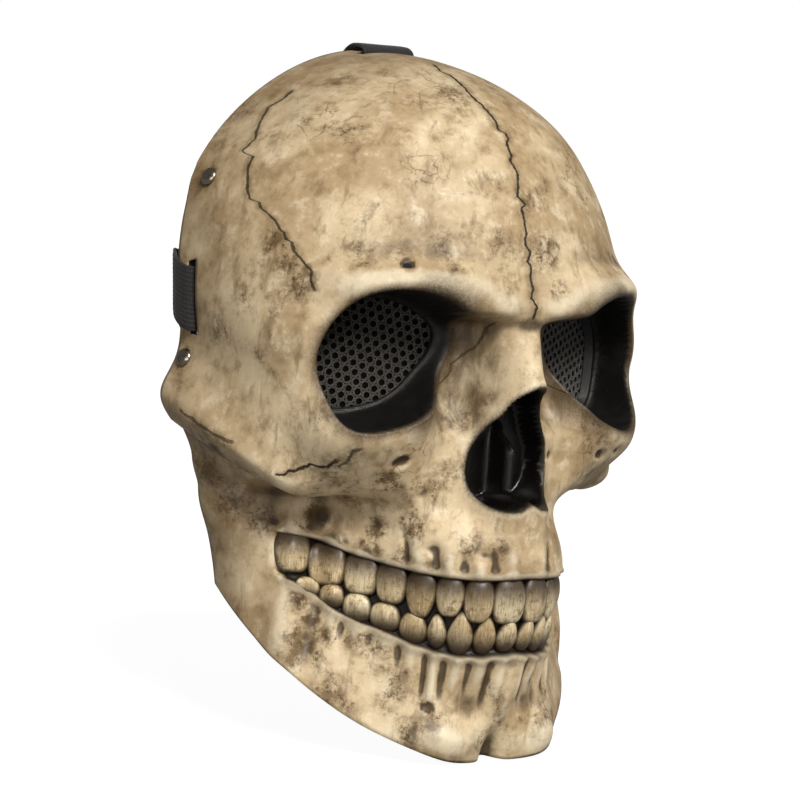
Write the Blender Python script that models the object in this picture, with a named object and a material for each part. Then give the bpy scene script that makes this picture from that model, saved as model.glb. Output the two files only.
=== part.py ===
"""Skull mask, worn upright: a rigid moulded face shell with eye nets, straps, rivets and foam pads.

Blender 4.5, metres, +Z up. The face looks along -Y and +X is the wearer's left.
The origin is the brow seat: the inner face of the brow on the midline, where the head rests.
"""
import math

import bmesh
import bpy
import numpy as np

# Driving sizes of the shell
MASK_HEIGHT = 0.265
HALF_WIDTH = 0.0925
RIM_DEPTH = 0.100
WALL = 0.003
CLEARANCE = 0.0003

# Relief of the face, as heights above or below the plain shell
BROW_RISE = 0.0055
CHEEK_RISE = 0.0115
ARCH_RISE = 0.0058
NOSE_BRIDGE_RISE = 0.0080
FLANK_DROP = 0.0180
MAXILLA_DROP = 0.0095
JAW_RISE = 0.003
SWELLING_UNIT = 0.001

# Eye sockets: outline radius, drop to the flat floor, ring that is left round the hole
SOCKET_RADIUS = 0.025
SOCKET_LIP = 0.0022
SOCKET_DROP_WIDTH = 0.0034
SOCKET_RING = 0.0044
SOCKET_YAW_DEGREES = 24.0

# Nose opening: a blind cavity with an upright septum
NOSE_HALF_WIDTH = 0.0185
SEPTUM_HALF_WIDTH = 0.0017
SEPTUM_HEIGHT = 0.013

# Teeth, moulded in relief in a shallow recess
MOUTH_RECESS = 0.0034
UPPER_TOOTH_RISE = 0.0044
LOWER_TOOTH_RISE = 0.0040
ROOT_RISE = 0.0020
ROOT_GROOVE = 0.0014

# Eye nets
NET_THICKNESS = 0.0012
NET_PITCH = 0.0066
NET_HOLE = 0.0048
NET_BORDER = 0.0030

# Webbing straps
STRAP_THICKNESS = 0.0016
SIDE_STRAP_WIDTH = 0.025
TOP_STRAP_WIDTH = 0.025
STRAP_LAP = 0.010
SIDE_STRAP_SAG = 0.046
SIDE_STRAP_ROUNDNESS = 2.5
LOOP_GAP = 0.0009
SLOT_CLEARANCE = 0.0007
STRAP_GAP = 0.0010
SLOT_FROM_RIM = 0.0095

# Rivets
RIVET_HEAD_RADIUS = 0.00365
RIVET_HEAD_HEIGHT = 0.0019
RIVET_SHANK_RADIUS = 0.0015
RIVET_FLANGE_RADIUS = 0.0030
RIVET_FLANGE = 0.0008

# Foam pads behind the rim
PAD_THICKNESS = 0.004
PAD_LENGTH = 0.040
PAD_FROM_STRAP = 0.0024
PAD_TOP_ROW = 0.965

# Mesh densities
SHELL_ROWS = 120
SHELL_COLUMNS = 150
SHELL_TRIANGLES = 6300

# Shell sections from the jaw edge to the crown edge.
# Columns: midline depth, midline height, rim depth, rim height, half width, wrap in degrees, hollow.
# Depths are shares of RIM_DEPTH, heights of MASK_HEIGHT, widths and hollows of HALF_WIDTH.
SECTIONS = np.array([
    [0.000, -0.582, 0.810, -0.366, 0.818, 90.0, 0.000],
    [-0.030, -0.521, 0.820, -0.332, 0.832, 90.0, 0.070],
    [-0.060, -0.460, 0.835, -0.294, 0.854, 90.0, 0.150],
    [-0.095, -0.396, 0.855, -0.249, 0.897, 90.0, 0.230],
    [-0.120, -0.340, 0.870, -0.204, 0.935, 90.0, 0.270],
    [-0.115, -0.272, 0.885, -0.166, 0.968, 90.0, 0.260],
    [-0.095, -0.208, 0.900, -0.121, 0.989, 90.0, 0.150],
    [-0.060, -0.113, 0.920, -0.068, 1.000, 90.0, 0.000],
    [-0.045, -0.019, 0.940, -0.011, 1.000, 90.0, -0.030],
    [-0.040, 0.057, 0.955, 0.030, 0.998, 90.0, -0.035],
    [-0.020, 0.121, 0.965, 0.060, 0.994, 89.0, -0.025],
    [0.035, 0.196, 0.975, 0.091, 0.989, 87.6, -0.022],
    [0.148, 0.276, 0.985, 0.121, 0.980, 84.0, -0.014],
    [0.315, 0.343, 0.995, 0.151, 0.966, 79.0, -0.008],
    [0.540, 0.385, 1.005, 0.177, 0.947, 72.8, -0.002],
    [0.800, 0.408, 1.015, 0.204, 0.928, 65.3, 0.008],
    [1.060, 0.415, 1.020, 0.226, 0.908, 60.0, 0.010],
])

# Round swellings and hollows, the same on both sides of the midline.
# Columns: across and spread across as shares of HALF_WIDTH, up and spread up as shares
# of MASK_HEIGHT, rise in SWELLING_UNIT.
SWELLINGS = [
    # across, up, spread_across, spread_up, rise
    (0.14, 0.070, 0.110, 0.030, 3.0),     # inner ends of the brow
    (0.00, 0.044, 0.100, 0.018, -2.0),    # root of the nose
    (0.86, -0.020, 0.114, 0.098, 6.0),    # outer edge of the socket
    (0.36, -0.155, 0.140, 0.060, -3.0),   # hollow beside the nose
    (0.60, -0.250, 0.150, 0.038, -3.0),   # hollow under the cheekbone
    (0.02, -0.220, 0.110, 0.030, 2.0),    # spine under the nose
    (0.00, -0.345, 0.520, 0.083, 1.0),    # swell of the tooth rows
    (0.24, -0.548, 0.124, 0.043, 7.5),    # chin knobs
    (0.00, -0.580, 0.052, 0.045, -6.5),   # chin notch
    (0.00, -0.485, 0.043, 0.045, 2.0),    # chin ridge
    (0.15, -0.500, 0.086, 0.038, -2.5),   # hollows beside the chin ridge
]

# Socket outline about its centre: degrees counted from the outer side, share of SOCKET_RADIUS
SOCKET_CENTRE = (0.508, -0.0075)
SOCKET_FLOOR = 0.295
SOCKET_OUTLINE = [
    (0, 1.01), (45, 1.00), (90, 0.96), (130, 1.00), (158, 1.05), (178, 0.93),
    (205, 0.80), (240, 0.84), (270, 0.98), (300, 1.13), (330, 1.08),
]

# Nose outline about its centre: degrees, share of NOSE_HALF_WIDTH
NOSE_CENTRE = -0.151
NOSE_FLOOR = 0.13
NOSE_OUTLINE = [
    (0, 1.03), (20, 1.01), (38, 1.05), (58, 1.24), (75, 1.52), (90, 1.56), (105, 1.52), (122, 1.24),
    (142, 1.05), (160, 1.01), (180, 1.03), (198, 1.09), (214, 1.14), (234, 1.16), (253, 0.99),
    (270, 0.77), (287, 0.99), (306, 1.16), (326, 1.14), (342, 1.09),
]

# Heights of the mouth along the shell, as shares of MASK_HEIGHT
MOUTH = np.array([
    # along, upper gum, upper tips, lower tips, lower gum
    [0.00, -0.312, -0.377, -0.366, -0.418],
    [0.17, -0.316, -0.374, -0.362, -0.424],
    [0.30, -0.313, -0.372, -0.369, -0.413],
    [0.40, -0.308, -0.360, -0.363, -0.399],
    [0.49, -0.303, -0.352, -0.351, -0.390],
    [0.58, -0.294, -0.343, -0.342, -0.375],
    [0.65, -0.285, -0.336, -0.335, -0.355],
    [0.76, -0.277, -0.324, -0.324, -0.334],
])
UPPER_TOOTH_EDGES = [0.0, 0.092, 0.170, 0.243, 0.327, 0.422, 0.539, 0.661, 0.762]
LOWER_TOOTH_EDGES = [0.0, 0.068, 0.134, 0.207, 0.262, 0.345, 0.442, 0.539, 0.625, 0.700]

# Rivets and the pads they hold, with heights as shares of MASK_HEIGHT and places along the shell
RIVETS = [
    # name, height, place, pad from, pad to
    ("upper", 0.215, 0.893, 0.780, 0.962),
    ("lower", -0.043, 0.966, 0.835, 0.985),
]
SIDE_SLOT_HEIGHT = 0.042

for old in list(bpy.data.objects):
    bpy.data.objects.remove(old, do_unlink=True)


def smooth(value):
    """Runs from 0 to 1 with level ends."""
    value = np.clip(value, 0.0, 1.0)
    return value * value * (3.0 - 2.0 * value)


def bell(distance, spread):
    """A round bump of height 1."""
    return np.exp(-(distance / spread) ** 2)


def curve(places, values, at):
    """Smooth curve through rows of values."""
    slopes = np.gradient(values, places, axis=0)
    low = np.clip(np.searchsorted(places, at, side="right") - 1, 0, len(places) - 2)
    step = places[low + 1] - places[low]
    part = (at - places[low]) / step
    if values.ndim > 1:
        step = step[..., None]
        part = part[..., None]
    return ((2 * part ** 3 - 3 * part ** 2 + 1) * values[low]
            + (part ** 3 - 2 * part ** 2 + part) * step * slopes[low]
            + (3 * part ** 2 - 2 * part ** 3) * values[low + 1]
            + (part ** 3 - part ** 2) * step * slopes[low + 1])


SECTION_SIZES = np.array([RIM_DEPTH, MASK_HEIGHT, RIM_DEPTH, MASK_HEIGHT, HALF_WIDTH, 1.0, HALF_WIDTH])
SECTION_ROWS = SECTIONS * SECTION_SIZES


def section_places():
    """Place of each section from 0 at the jaw edge to 1 at the crown edge."""
    middle = np.hypot(np.diff(SECTION_ROWS[:, 0]), np.diff(SECTION_ROWS[:, 1]))
    rim = np.hypot(np.diff(SECTION_ROWS[:, 2]), np.diff(SECTION_ROWS[:, 3]))
    run = np.concatenate([[0.0], np.cumsum(0.7 * middle + 0.3 * rim)])
    return run / run[-1]


PLACES = section_places()


def plain_shell(up, along):
    """The shell without relief: up from 0 to 1, along from -1 to 1."""
    row = curve(PLACES, SECTION_ROWS, up)
    mid_y, mid_z, rim_y, rim_z, half, wrap, hollow = [row[..., k] for k in range(7)]
    end = np.radians(wrap)
    angle = along * end
    dent = hollow * np.sin(np.pi * np.abs(along)) ** 2 * (0.7 + 0.6 * np.abs(along))
    keep = 1.0 - math.sqrt(2.0) * dent / np.hypot(half, rim_y - mid_y)
    x = half * np.sin(angle) / np.sin(end) * keep
    forward = (np.cos(angle) - np.cos(end)) / (1.0 - np.cos(end)) * keep
    return np.stack([x, rim_y + (mid_y - rim_y) * forward, rim_z + (mid_z - rim_z) * forward], -1)


def normals(surface, up, along, step=0.001):
    """Outward normals of a surface given by up and along."""
    across = surface(up, along + step) - surface(up, along - step)
    rise = surface(up + step, along) - surface(up - step, along)
    out = np.cross(across, rise)
    return out / np.linalg.norm(out, axis=-1, keepdims=True)


def outline_distance(x, z, centre, outline, size):
    """Distance outside a round outline that is given by degrees and shares of a size."""
    table = np.array(outline, float)
    turn = np.degrees(np.arctan2(z - centre[1], x - centre[0])) % 360.0
    places = np.concatenate([table[:, 0] - 360.0, table[:, 0], table[:, 0] + 360.0])
    radius = curve(places, np.tile(table[:, 1], 3), turn) * size
    return np.hypot(x - centre[0], z - centre[1]) - radius


SOCKET_PLACE = (SOCKET_CENTRE[0] * HALF_WIDTH, SOCKET_CENTRE[1] * MASK_HEIGHT)


def socket_distance(x, z):
    return outline_distance(np.abs(x), z, SOCKET_PLACE, SOCKET_OUTLINE, SOCKET_RADIUS)


def nose_distance(x, z):
    return outline_distance(x, z, (0.0, NOSE_CENTRE * MASK_HEIGHT), NOSE_OUTLINE, NOSE_HALF_WIDTH)


def socket_floor(x, inset=0.0):
    """Depth of the flat socket floor, which faces outward by the socket's yaw."""
    yaw = math.radians(SOCKET_YAW_DEGREES)
    lean = (np.abs(x) - SOCKET_PLACE[0]) * math.tan(yaw)
    return SOCKET_FLOOR * RIM_DEPTH + lean + inset / math.cos(yaw)


def tooth_row(along, z, edges, gum, tip, rise, phase):
    """Rounded crowns side by side, narrower towards the tip."""
    places = np.array(edges)
    low = np.clip(np.searchsorted(places, along, side="right") - 1, 0, len(places) - 2)
    middle = (places[low] + places[low + 1]) / 2.0
    half = (places[low + 1] - places[low]) / 2.0
    down = (z - gum) / (tip - gum) / (1.0 + 0.06 * np.cos(low * 2.1 + phase))
    narrow = 1.0 - 0.45 * np.clip(down, 0.0, 1.0) ** 1.8
    body = np.clip(1.0 - np.abs((along - middle) / (half * narrow)) ** 2.6, 0.0, 1.0) ** 0.5
    ends = smooth((down + 0.10) / 0.22)
    ends = ends * np.clip(1.0 - np.clip((down - 0.62) / 0.42, 0.0, None) ** 2.2, 0.0, 1.0) ** 0.5
    return rise * body * ends * (along < places[-1])


def main_relief(x, y, z, along):
    """Brow, cheekbones, nose bridge, jaw and the round swellings, as a height."""
    side = np.abs(x)
    height = MASK_HEIGHT
    width = HALF_WIDTH
    relief = np.zeros_like(x)
    for across, up, spread_across, spread_up, rise in SWELLINGS:
        bump = bell(side - across * width, spread_across * width) * bell(z - up * height, spread_up * height)
        relief += rise * SWELLING_UNIT * bump
    brow = 0.100 * height - 0.10 * np.clip(side - 0.50 * width, 0, None)
    brow -= 0.16 * np.clip(0.35 * width - side, 0, None)
    ends = smooth((side / width - 0.08) / 0.25) * smooth((0.93 - side / width) / 0.22)
    relief += BROW_RISE * bell(z - brow, 0.032 * height) * ends
    cheek = bell(side - 0.70 * width, 0.216 * width)
    cheek = cheek * smooth((z / height + 0.230) / 0.042) * smooth((-0.020 - z / height) / 0.106)
    relief += CHEEK_RISE * cheek
    start = (0.34 * RIM_DEPTH, -0.185 * height)
    run = (0.58 * RIM_DEPTH, 0.085 * height)
    length = math.hypot(*run)
    arch_along = ((y - start[0]) * run[0] + (z - start[1]) * run[1]) / length ** 2
    arch_off = ((z - start[1]) * run[0] - (y - start[0]) * run[1]) / length
    on_side = smooth((arch_along + 0.05) / 0.25) * smooth((side / width - 0.55) / 0.2)
    relief += ARCH_RISE * bell(arch_off - 0.008 * height, 0.032 * height) * on_side
    below = bell(arch_off + 0.070 * height, 0.036 * height) * smooth((1.2 - arch_along) / 0.5)
    relief -= 0.8 * ARCH_RISE * below * on_side
    relief -= 0.55 * ARCH_RISE * bell(arch_off - 0.090 * height, 0.057 * height) * on_side
    bridge = smooth((0.055 - z / height) / 0.13) * smooth((z / height + 0.13) / 0.05)
    relief += NOSE_BRIDGE_RISE * bridge * bell(x, 0.092 * width)
    front = 0.655 + 0.02 * smooth(-(z / height + 0.20) / 0.2)
    fade = smooth(-(0.20 + z / height) / 0.05) * smooth((z / height + 0.50) / 0.08)
    relief += JAW_RISE * fade * bell(along - front - 0.050, 0.050)
    relief -= 1.3 * JAW_RISE * fade * bell(along - front + 0.030, 0.026)
    return relief


def flank_drop(x, z, inset):
    """How far the flanks of the nose fall back, to the sockets and beside the nose opening."""
    side = np.abs(x) / HALF_WIDTH
    up = z / MASK_HEIGHT
    more = 0.7 * inset / HALF_WIDTH
    wide = inset / MASK_HEIGHT
    upper = smooth((up + 0.125 + wide) / 0.065) * smooth((0.060 - up + wide) / 0.024)
    upper = upper * smooth((side - 0.020 + more) / 0.205) * smooth((0.43 - side + more) / 0.16)
    lower = smooth((wide - up - 0.105) / 0.075) * smooth((up + 0.275 + wide) / 0.06)
    lower = lower * smooth((side - 0.08 + more) / 0.13) * smooth((0.49 - side + more) / 0.22)
    return FLANK_DROP * upper + MAXILLA_DROP * lower


def mouth_relief(z, along, inner):
    """Teeth, gum lines and roots; the inner face follows only as a shallow recess."""
    lines = curve(MOUTH[:, 0], MOUTH[:, 1:] * MASK_HEIGHT, np.clip(along, 0.0, 0.76))
    upper_gum, upper_tip, lower_tip, lower_gum = [lines[..., k] for k in range(4)]
    edge = 0.008 * MASK_HEIGHT
    band = smooth((upper_gum - z) / edge + 0.5) * smooth((z - lower_gum) / edge + 0.5)
    band = band * smooth((0.775 - along) / 0.02)
    if inner:
        return -0.6 * MOUTH_RECESS * band
    upper = tooth_row(along, z, UPPER_TOOTH_EDGES, upper_gum, upper_tip, UPPER_TOOTH_RISE, 1.0)
    lower = tooth_row(along, z, LOWER_TOOTH_EDGES, lower_gum, lower_tip, LOWER_TOOTH_RISE, 2.0)
    relief = band * (np.maximum(upper, lower) - MOUTH_RECESS)
    roots = ((UPPER_TOOTH_EDGES, upper_gum, 1.0), (LOWER_TOOTH_EDGES, lower_gum, -1.0))
    for edges, gum, sign in roots:
        off = (z - gum) * sign / MASK_HEIGHT
        window = smooth((off - 0.006) / 0.015) * smooth((0.066 - off) / 0.022)
        for first, second in zip(edges[:7], edges[1:8]):
            relief += ROOT_RISE * window * bell(along - (first + second) / 2.0, 0.022)
            relief -= ROOT_GROOVE * window * bell(along - first, 0.016)
        lip = bell((z - gum) * sign - 0.011 * MASK_HEIGHT, 0.0095 * MASK_HEIGHT)
        relief += 0.6 * ROOT_RISE * lip * smooth((0.76 - along) / 0.05)
    return relief


def face(up, along, inset=0.0):
    """The finished shell surface; an inset moves it inward for the inner face."""
    plain = plain_shell(up, along)
    out = normals(plain_shell, up, along)
    x, y, z = plain[..., 0], plain[..., 1], plain[..., 2]
    relief = main_relief(x, y, z, np.abs(along)) + mouth_relief(z, np.abs(along), inset > 0.0)
    socket = socket_distance(x, z) - inset
    turn = np.arctan2(z - SOCKET_PLACE[1], np.abs(x) - SOCKET_PLACE[0])
    lip = (SOCKET_LIP + 0.5 * SOCKET_LIP * np.sin(turn)) * bell(socket - 0.0015, 0.006)
    relief += lip * smooth((np.abs(x) / HALF_WIDTH - 0.22) / 0.12)
    nose = nose_distance(x, z) - inset
    relief += 0.5 * SOCKET_LIP * bell(nose - 0.001, 0.0025)
    point = plain + out * (relief - inset)[..., None]
    point[..., 1] += flank_drop(x, z, inset)
    drop = smooth(0.05 - socket / SOCKET_DROP_WIDTH)
    point[..., 1] += drop * np.maximum(socket_floor(point[..., 0], inset) - point[..., 1], 0.0)
    nose_drop = smooth(0.02 - nose / SOCKET_DROP_WIDTH)
    floor = NOSE_FLOOR * RIM_DEPTH + inset
    if inset == 0.0:
        floor = floor - SEPTUM_HEIGHT * bell(x, SEPTUM_HALF_WIDTH) * smooth(-(0.095 + z / MASK_HEIGHT) / 0.045)
    point[..., 1] += nose_drop * np.maximum(floor - point[..., 1], 0.0)
    return point


def row_at(height, along):
    """The row whose plain shell passes through a height at one place along the shell."""
    rows = np.linspace(0.0, 1.0, 400)
    heights = plain_shell(rows, np.full_like(rows, along))[:, 2]
    return float(np.interp(height, heights, rows))


def add_object(name, points, faces):
    mesh = bpy.data.meshes.new(name)
    mesh.from_pydata([tuple(map(float, point)) for point in points], [], faces)
    mesh.validate()
    work = bmesh.new()
    work.from_mesh(mesh)
    bmesh.ops.recalc_face_normals(work, faces=work.faces)
    work.to_mesh(mesh)
    work.free()
    made = bpy.data.objects.new(name, mesh)
    bpy.context.scene.collection.objects.link(made)
    return made


def hide_cutter(cutter):
    cutter.hide_render = True
    cutter.display_type = "WIRE"


def cut(target, cutter):
    hide_cutter(cutter)
    step = target.modifiers.new("cut", "BOOLEAN")
    step.operation = "DIFFERENCE"
    step.solver = "EXACT"
    step.object = cutter


def socket_along(up, along):
    plain = plain_shell(up, along)
    return socket_distance(plain[..., 0], plain[..., 2])


def nose_along(up, along):
    plain = plain_shell(up, along)
    return nose_distance(plain[..., 0], plain[..., 2])


def move_to_level(distance, level, up, along, chosen):
    """Moves the chosen grid points onto the line at one distance from an outline."""
    step = 0.0005
    for _ in range(5):
        margin = distance(up, along) - level
        slope_up = (distance(up + step, along) - distance(up - step, along)) / (2 * step)
        slope_along = (distance(up, along + step) - distance(up, along - step)) / (2 * step)
        scale = margin / (slope_up ** 2 + slope_along ** 2)
        up = np.where(chosen, up - scale * slope_up, up)
        along = np.where(chosen, along - scale * slope_along, along)
    return up, along


def shell_grid():
    """Rows and columns of the shell, with nearby points moved onto the socket and nose outlines."""
    up, along = np.meshgrid(np.linspace(0, 1, SHELL_ROWS), np.linspace(-1, 1, SHELL_COLUMNS), indexing="ij")
    for distance, level in ((socket_along, 0.0), (socket_along, -SOCKET_DROP_WIDTH),
                            (nose_along, 0.0), (nose_along, -SOCKET_DROP_WIDTH)):
        margin = distance(up, along) - level
        crossing = np.zeros(margin.shape, bool)
        for low, high in (((slice(None, -1), slice(None)), (slice(1, None), slice(None))),
                          ((slice(None), slice(None, -1)), (slice(None), slice(1, None)))):
            split = margin[low] * margin[high] < 0.0
            nearer = np.abs(margin[low]) < np.abs(margin[high])
            crossing[low] |= split & nearer
            crossing[high] |= split & ~nearer
        up, along = move_to_level(distance, level, up, along, crossing)
    inside = socket_along(up, along) < -SOCKET_RING
    hole = inside[:-1, :-1] & inside[1:, :-1] & inside[:-1, 1:] & inside[1:, 1:]
    up, along = move_to_level(socket_along, -SOCKET_RING, up, along, inside)
    return up, along, hole


def box(points, faces, centre, axes, halves):
    """Adds a closed box to a list of points and faces."""
    first = len(points)
    for k in range(8):
        signs = (1 if k & 1 else -1, 1 if k & 2 else -1, 1 if k & 4 else -1)
        points.append(centre + sum(sign * half * axis for sign, half, axis in zip(signs, halves, axes)))
    quads = [(0, 2, 3, 1), (4, 5, 7, 6), (0, 1, 5, 4), (2, 6, 7, 3), (0, 4, 6, 2), (1, 3, 7, 5)]
    faces += [tuple(first + k for k in quad) for quad in quads]


def prism(points, faces, centre, axis, across, radius, half, sides):
    """Adds a closed regular prism to a list of points and faces."""
    first = len(points)
    third = np.cross(axis, across)
    for end in (-half, half):
        for k in range(sides):
            turn = 2.0 * math.pi * k / sides
            points.append(centre + end * axis + radius * (math.cos(turn) * across + math.sin(turn) * third))
    faces.append(tuple(first + k for k in reversed(range(sides))))
    faces.append(tuple(first + sides + k for k in range(sides)))
    for k in range(sides):
        after = (k + 1) % sides
        faces.append((first + k, first + after, first + sides + after, first + sides + k))


def unit(vector):
    return vector / np.linalg.norm(vector)


def strap_mouth(axis_out, axis_back, axis_wide, slot, half_width, up, along):
    """Where a strap folds round the rim: outer and inner face and rim edge, seen from the slot."""
    outside = face(up, along) - slot
    inside = face(up, along, WALL) - slot
    near = np.abs(outside @ axis_wide) < half_width
    outer = (outside @ axis_out)[near].max()
    inner = (inside @ axis_out)[near].min()
    edge = max((outside @ axis_back)[near].max(), (inside @ axis_back)[near].max())
    return outer, inner, edge


def round_off(path, times=3):
    """Cuts the corners of an open path."""
    path = np.array(path, float)
    for _ in range(times):
        first = 0.75 * path[:-1] + 0.25 * path[1:]
        second = 0.25 * path[:-1] + 0.75 * path[1:]
        middle = np.stack([first, second], 1).reshape(-1, 2)
        path = np.concatenate([path[:1], middle[1:-1], path[-1:]])
    return path


def path_normals(path):
    ahead = np.gradient(path, axis=0)
    ahead = ahead / np.linalg.norm(ahead, axis=1, keepdims=True)
    return np.stack([-ahead[:, 1], ahead[:, 0]], 1)


def rim_fold(outer, inner, edge, main):
    """Path of a strap end: lapped ply, inside leg, turn through the slot, outside leg."""
    half = STRAP_THICKNESS / 2.0
    leg_out = outer + STRAP_GAP + half
    leg_in = inner - STRAP_GAP - half
    radius = (leg_out - leg_in) / 2.0
    middle = (leg_out + leg_in) / 2.0
    turn = [(middle + radius * math.cos(a), radius - radius * math.sin(a))
            for a in np.linspace(math.pi, 0.0, 7)]
    offset = STRAP_THICKNESS + CLEARANCE
    main = np.array(main)
    ply = main + path_normals(main) * offset
    if path_normals(main)[0, 0] > 0.0:
        ply = main - path_normals(main) * offset
    meets = np.interp(leg_in, ply[::-1, 0], ply[::-1, 1])
    ply = ply[ply[:, 0] < leg_in - 0.5 * offset]
    run = np.concatenate([[0.0], np.cumsum(np.linalg.norm(np.diff(ply, axis=0), axis=1))])
    ply = ply[run < STRAP_LAP]
    inside_end = (leg_in, meets)
    return [tuple(p) for p in ply[::-1]] + [inside_end] + turn + [(leg_out, edge)]


def band(name, path, place, wide, half_width):
    """A flat strap: a path in a plane, given thickness in the plane and width across it."""
    path = np.array(path)
    side = path_normals(path) * STRAP_THICKNESS / 2.0
    points = []
    for at, off in zip(path, side):
        for sign, across in ((1, -1), (1, 1), (-1, 1), (-1, -1)):
            points.append(place(at + sign * off) + across * half_width * wide)
    faces = [(3, 2, 1, 0)]
    last = 4 * (len(path) - 1)
    faces.append((last, last + 1, last + 2, last + 3))
    for k in range(len(path) - 1):
        for c in range(4):
            after = (c + 1) % 4
            faces.append((4 * k + c, 4 * k + after, 4 * k + 4 + after, 4 * k + 4 + c))
    return add_object(name, points, faces)


# Side slots and the plane of the side strap
X_AXIS = np.array([1.0, 0.0, 0.0])
SLOT_ALONG = 1.0 - SLOT_FROM_RIM / (0.5 * math.pi * RIM_DEPTH)
slot_row = row_at(SIDE_SLOT_HEIGHT * MASK_HEIGHT, SLOT_ALONG)
side_slot = face(np.array(slot_row), np.array(SLOT_ALONG))
rim_line = face(np.array([slot_row - 0.03, slot_row + 0.03]), np.array([1.0, 1.0]))
SIDE_WIDE = unit((rim_line[1] - rim_line[0]) * np.array([0.0, 1.0, 1.0]))
SIDE_BACK = np.array([0.0, SIDE_WIDE[2], -SIDE_WIDE[1]])
rows, places = np.meshgrid(np.linspace(slot_row - 0.2, slot_row + 0.2, 160), np.linspace(SLOT_ALONG, 1, 24))
side_mouth = strap_mouth(X_AXIS, SIDE_BACK, SIDE_WIDE, side_slot, SIDE_STRAP_WIDTH / 2.0, rows, places)

# Top slot
TOP_ROW = 1.0 - SLOT_FROM_RIM / (1.2 * MASK_HEIGHT)
top_slot = face(np.array(TOP_ROW), np.array(0.0))
crown = face(np.array([TOP_ROW, 1.0]), np.array([0.0, 0.0]))
TOP_BACK = unit(crown[1] - crown[0])
TOP_OUT = np.array([0.0, -TOP_BACK[2], TOP_BACK[1]])
rows, places = np.meshgrid(np.linspace(TOP_ROW, 1, 24), np.linspace(-0.4, 0.4, 81))
top_mouth = strap_mouth(TOP_OUT, TOP_BACK, X_AXIS, top_slot, TOP_STRAP_WIDTH / 2.0, rows, places)

# Rivet places on the +X side
rivets = []
for name, height, along, near_side, far_side in RIVETS:
    row = row_at(height * MASK_HEIGHT, along)
    at = face(np.array(row), np.array(along))
    rivets.append((name, at, normals(face, np.array(row), np.array(along)), near_side, far_side))


def mask_shell():
    up, along, hole = shell_grid()
    outer = face(up, along).reshape(-1, 3)
    inner = face(up, along, WALL).reshape(-1, 3)
    count = len(outer)
    index = np.arange(count).reshape(up.shape)
    quads = []
    for r in range(SHELL_ROWS - 1):
        for c in range(SHELL_COLUMNS - 1):
            if not hole[r, c]:
                quads.append((index[r, c], index[r, c + 1], index[r + 1, c + 1], index[r + 1, c]))
    edges = {(quad[k], quad[(k + 1) % 4]) for quad in quads for k in range(4)}
    walls = [(b, a, a + count, b + count) for a, b in edges if (b, a) not in edges]
    faces = quads + [tuple(k + count for k in reversed(quad)) for quad in quads] + walls
    used = sorted({k for quad in faces for k in quad})
    renamed = {old: new for new, old in enumerate(used)}
    points = np.concatenate([outer, inner])[used]
    faces = [tuple(renamed[k] for k in quad) for quad in faces]
    shell = add_object("mask_shell", points, faces)
    thin = shell.modifiers.new("thin", "DECIMATE")
    thin.ratio = SHELL_TRIANGLES / (2.0 * len(faces))
    points = []
    faces = []
    turn_room = (side_mouth[0] - side_mouth[1]) / 2.0 + SLOT_CLEARANCE
    half_gap = STRAP_THICKNESS / 2.0 + SLOT_CLEARANCE
    for sign in (-1.0, 1.0):
        mirror = np.array([sign, 1.0, 1.0])
        centre = side_slot * mirror + SIDE_BACK * SLOT_CLEARANCE
        halves = (4.0 * turn_room, half_gap + SLOT_CLEARANCE, SIDE_STRAP_WIDTH / 2.0 + SLOT_CLEARANCE)
        box(points, faces, centre, (X_AXIS, SIDE_BACK, SIDE_WIDE), halves)
        for _, at, out, _, _ in rivets:
            radius = RIVET_SHANK_RADIUS + CLEARANCE
            prism(points, faces, at * mirror, out * mirror, SIDE_WIDE, radius, 4.0 * WALL, 12)
    centre = top_slot + TOP_BACK * SLOT_CLEARANCE
    halves = (4.0 * turn_room, half_gap + SLOT_CLEARANCE, TOP_STRAP_WIDTH / 2.0 + SLOT_CLEARANCE)
    box(points, faces, centre, (TOP_OUT, TOP_BACK, X_AXIS), halves)
    cut(shell, add_object("slot_cutter", points, faces))


def eye_net(name, sign):
    """A flat plate behind the socket floor, pierced by six-sided holes."""
    yaw = math.radians(SOCKET_YAW_DEGREES)
    across = np.array([sign * math.cos(yaw), math.sin(yaw), 0.0])
    back = np.array([-sign * math.sin(yaw), math.cos(yaw), 0.0])
    rise = np.array([0.0, 0.0, 1.0])
    start = np.array([sign * SOCKET_PLACE[0], float(socket_floor(SOCKET_PLACE[0], WALL)), SOCKET_PLACE[1]])
    start = start + back * CLEARANCE
    table = np.array(SOCKET_OUTLINE, float)
    places = np.concatenate([table[:, 0] - 360.0, table[:, 0], table[:, 0] + 360.0])
    turns = np.linspace(0.0, 360.0, 48, endpoint=False)
    radius = curve(places, np.tile(table[:, 1], 3), turns) * SOCKET_RADIUS - 0.3 * SOCKET_RING
    ring = [(r * math.cos(math.radians(a)) / math.cos(yaw), r * math.sin(math.radians(a)))
            for r, a in zip(radius, turns)]
    points = []
    for depth in (0.0, NET_THICKNESS):
        points += [start + u * across + v * rise + depth * back for u, v in ring]
    count = len(ring)
    faces = [tuple(range(count)), tuple(reversed(range(count, 2 * count)))]
    for k in range(count):
        after = (k + 1) % count
        faces.append((k, k + count, after + count, after))
    plate = add_object(name, points, faces)
    points = []
    faces = []
    limit = SOCKET_RING + NET_BORDER - 0.3 * SOCKET_RING
    for row in range(-8, 9):
        for column in range(-8, 9):
            u = (column + 0.5 * (row % 2)) * NET_PITCH
            v = row * NET_PITCH * math.sqrt(3.0) / 2.0
            x = np.array(SOCKET_PLACE[0] + u * math.cos(yaw))
            if socket_distance(x, np.array(SOCKET_PLACE[1] + v)) < -limit:
                centre = start + u * across + v * rise + 0.5 * NET_THICKNESS * back
                prism(points, faces, centre, back, rise, NET_HOLE / math.sqrt(3.0), NET_THICKNESS, 6)
    cut(plate, add_object(name + "_cutter", points, faces))


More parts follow.
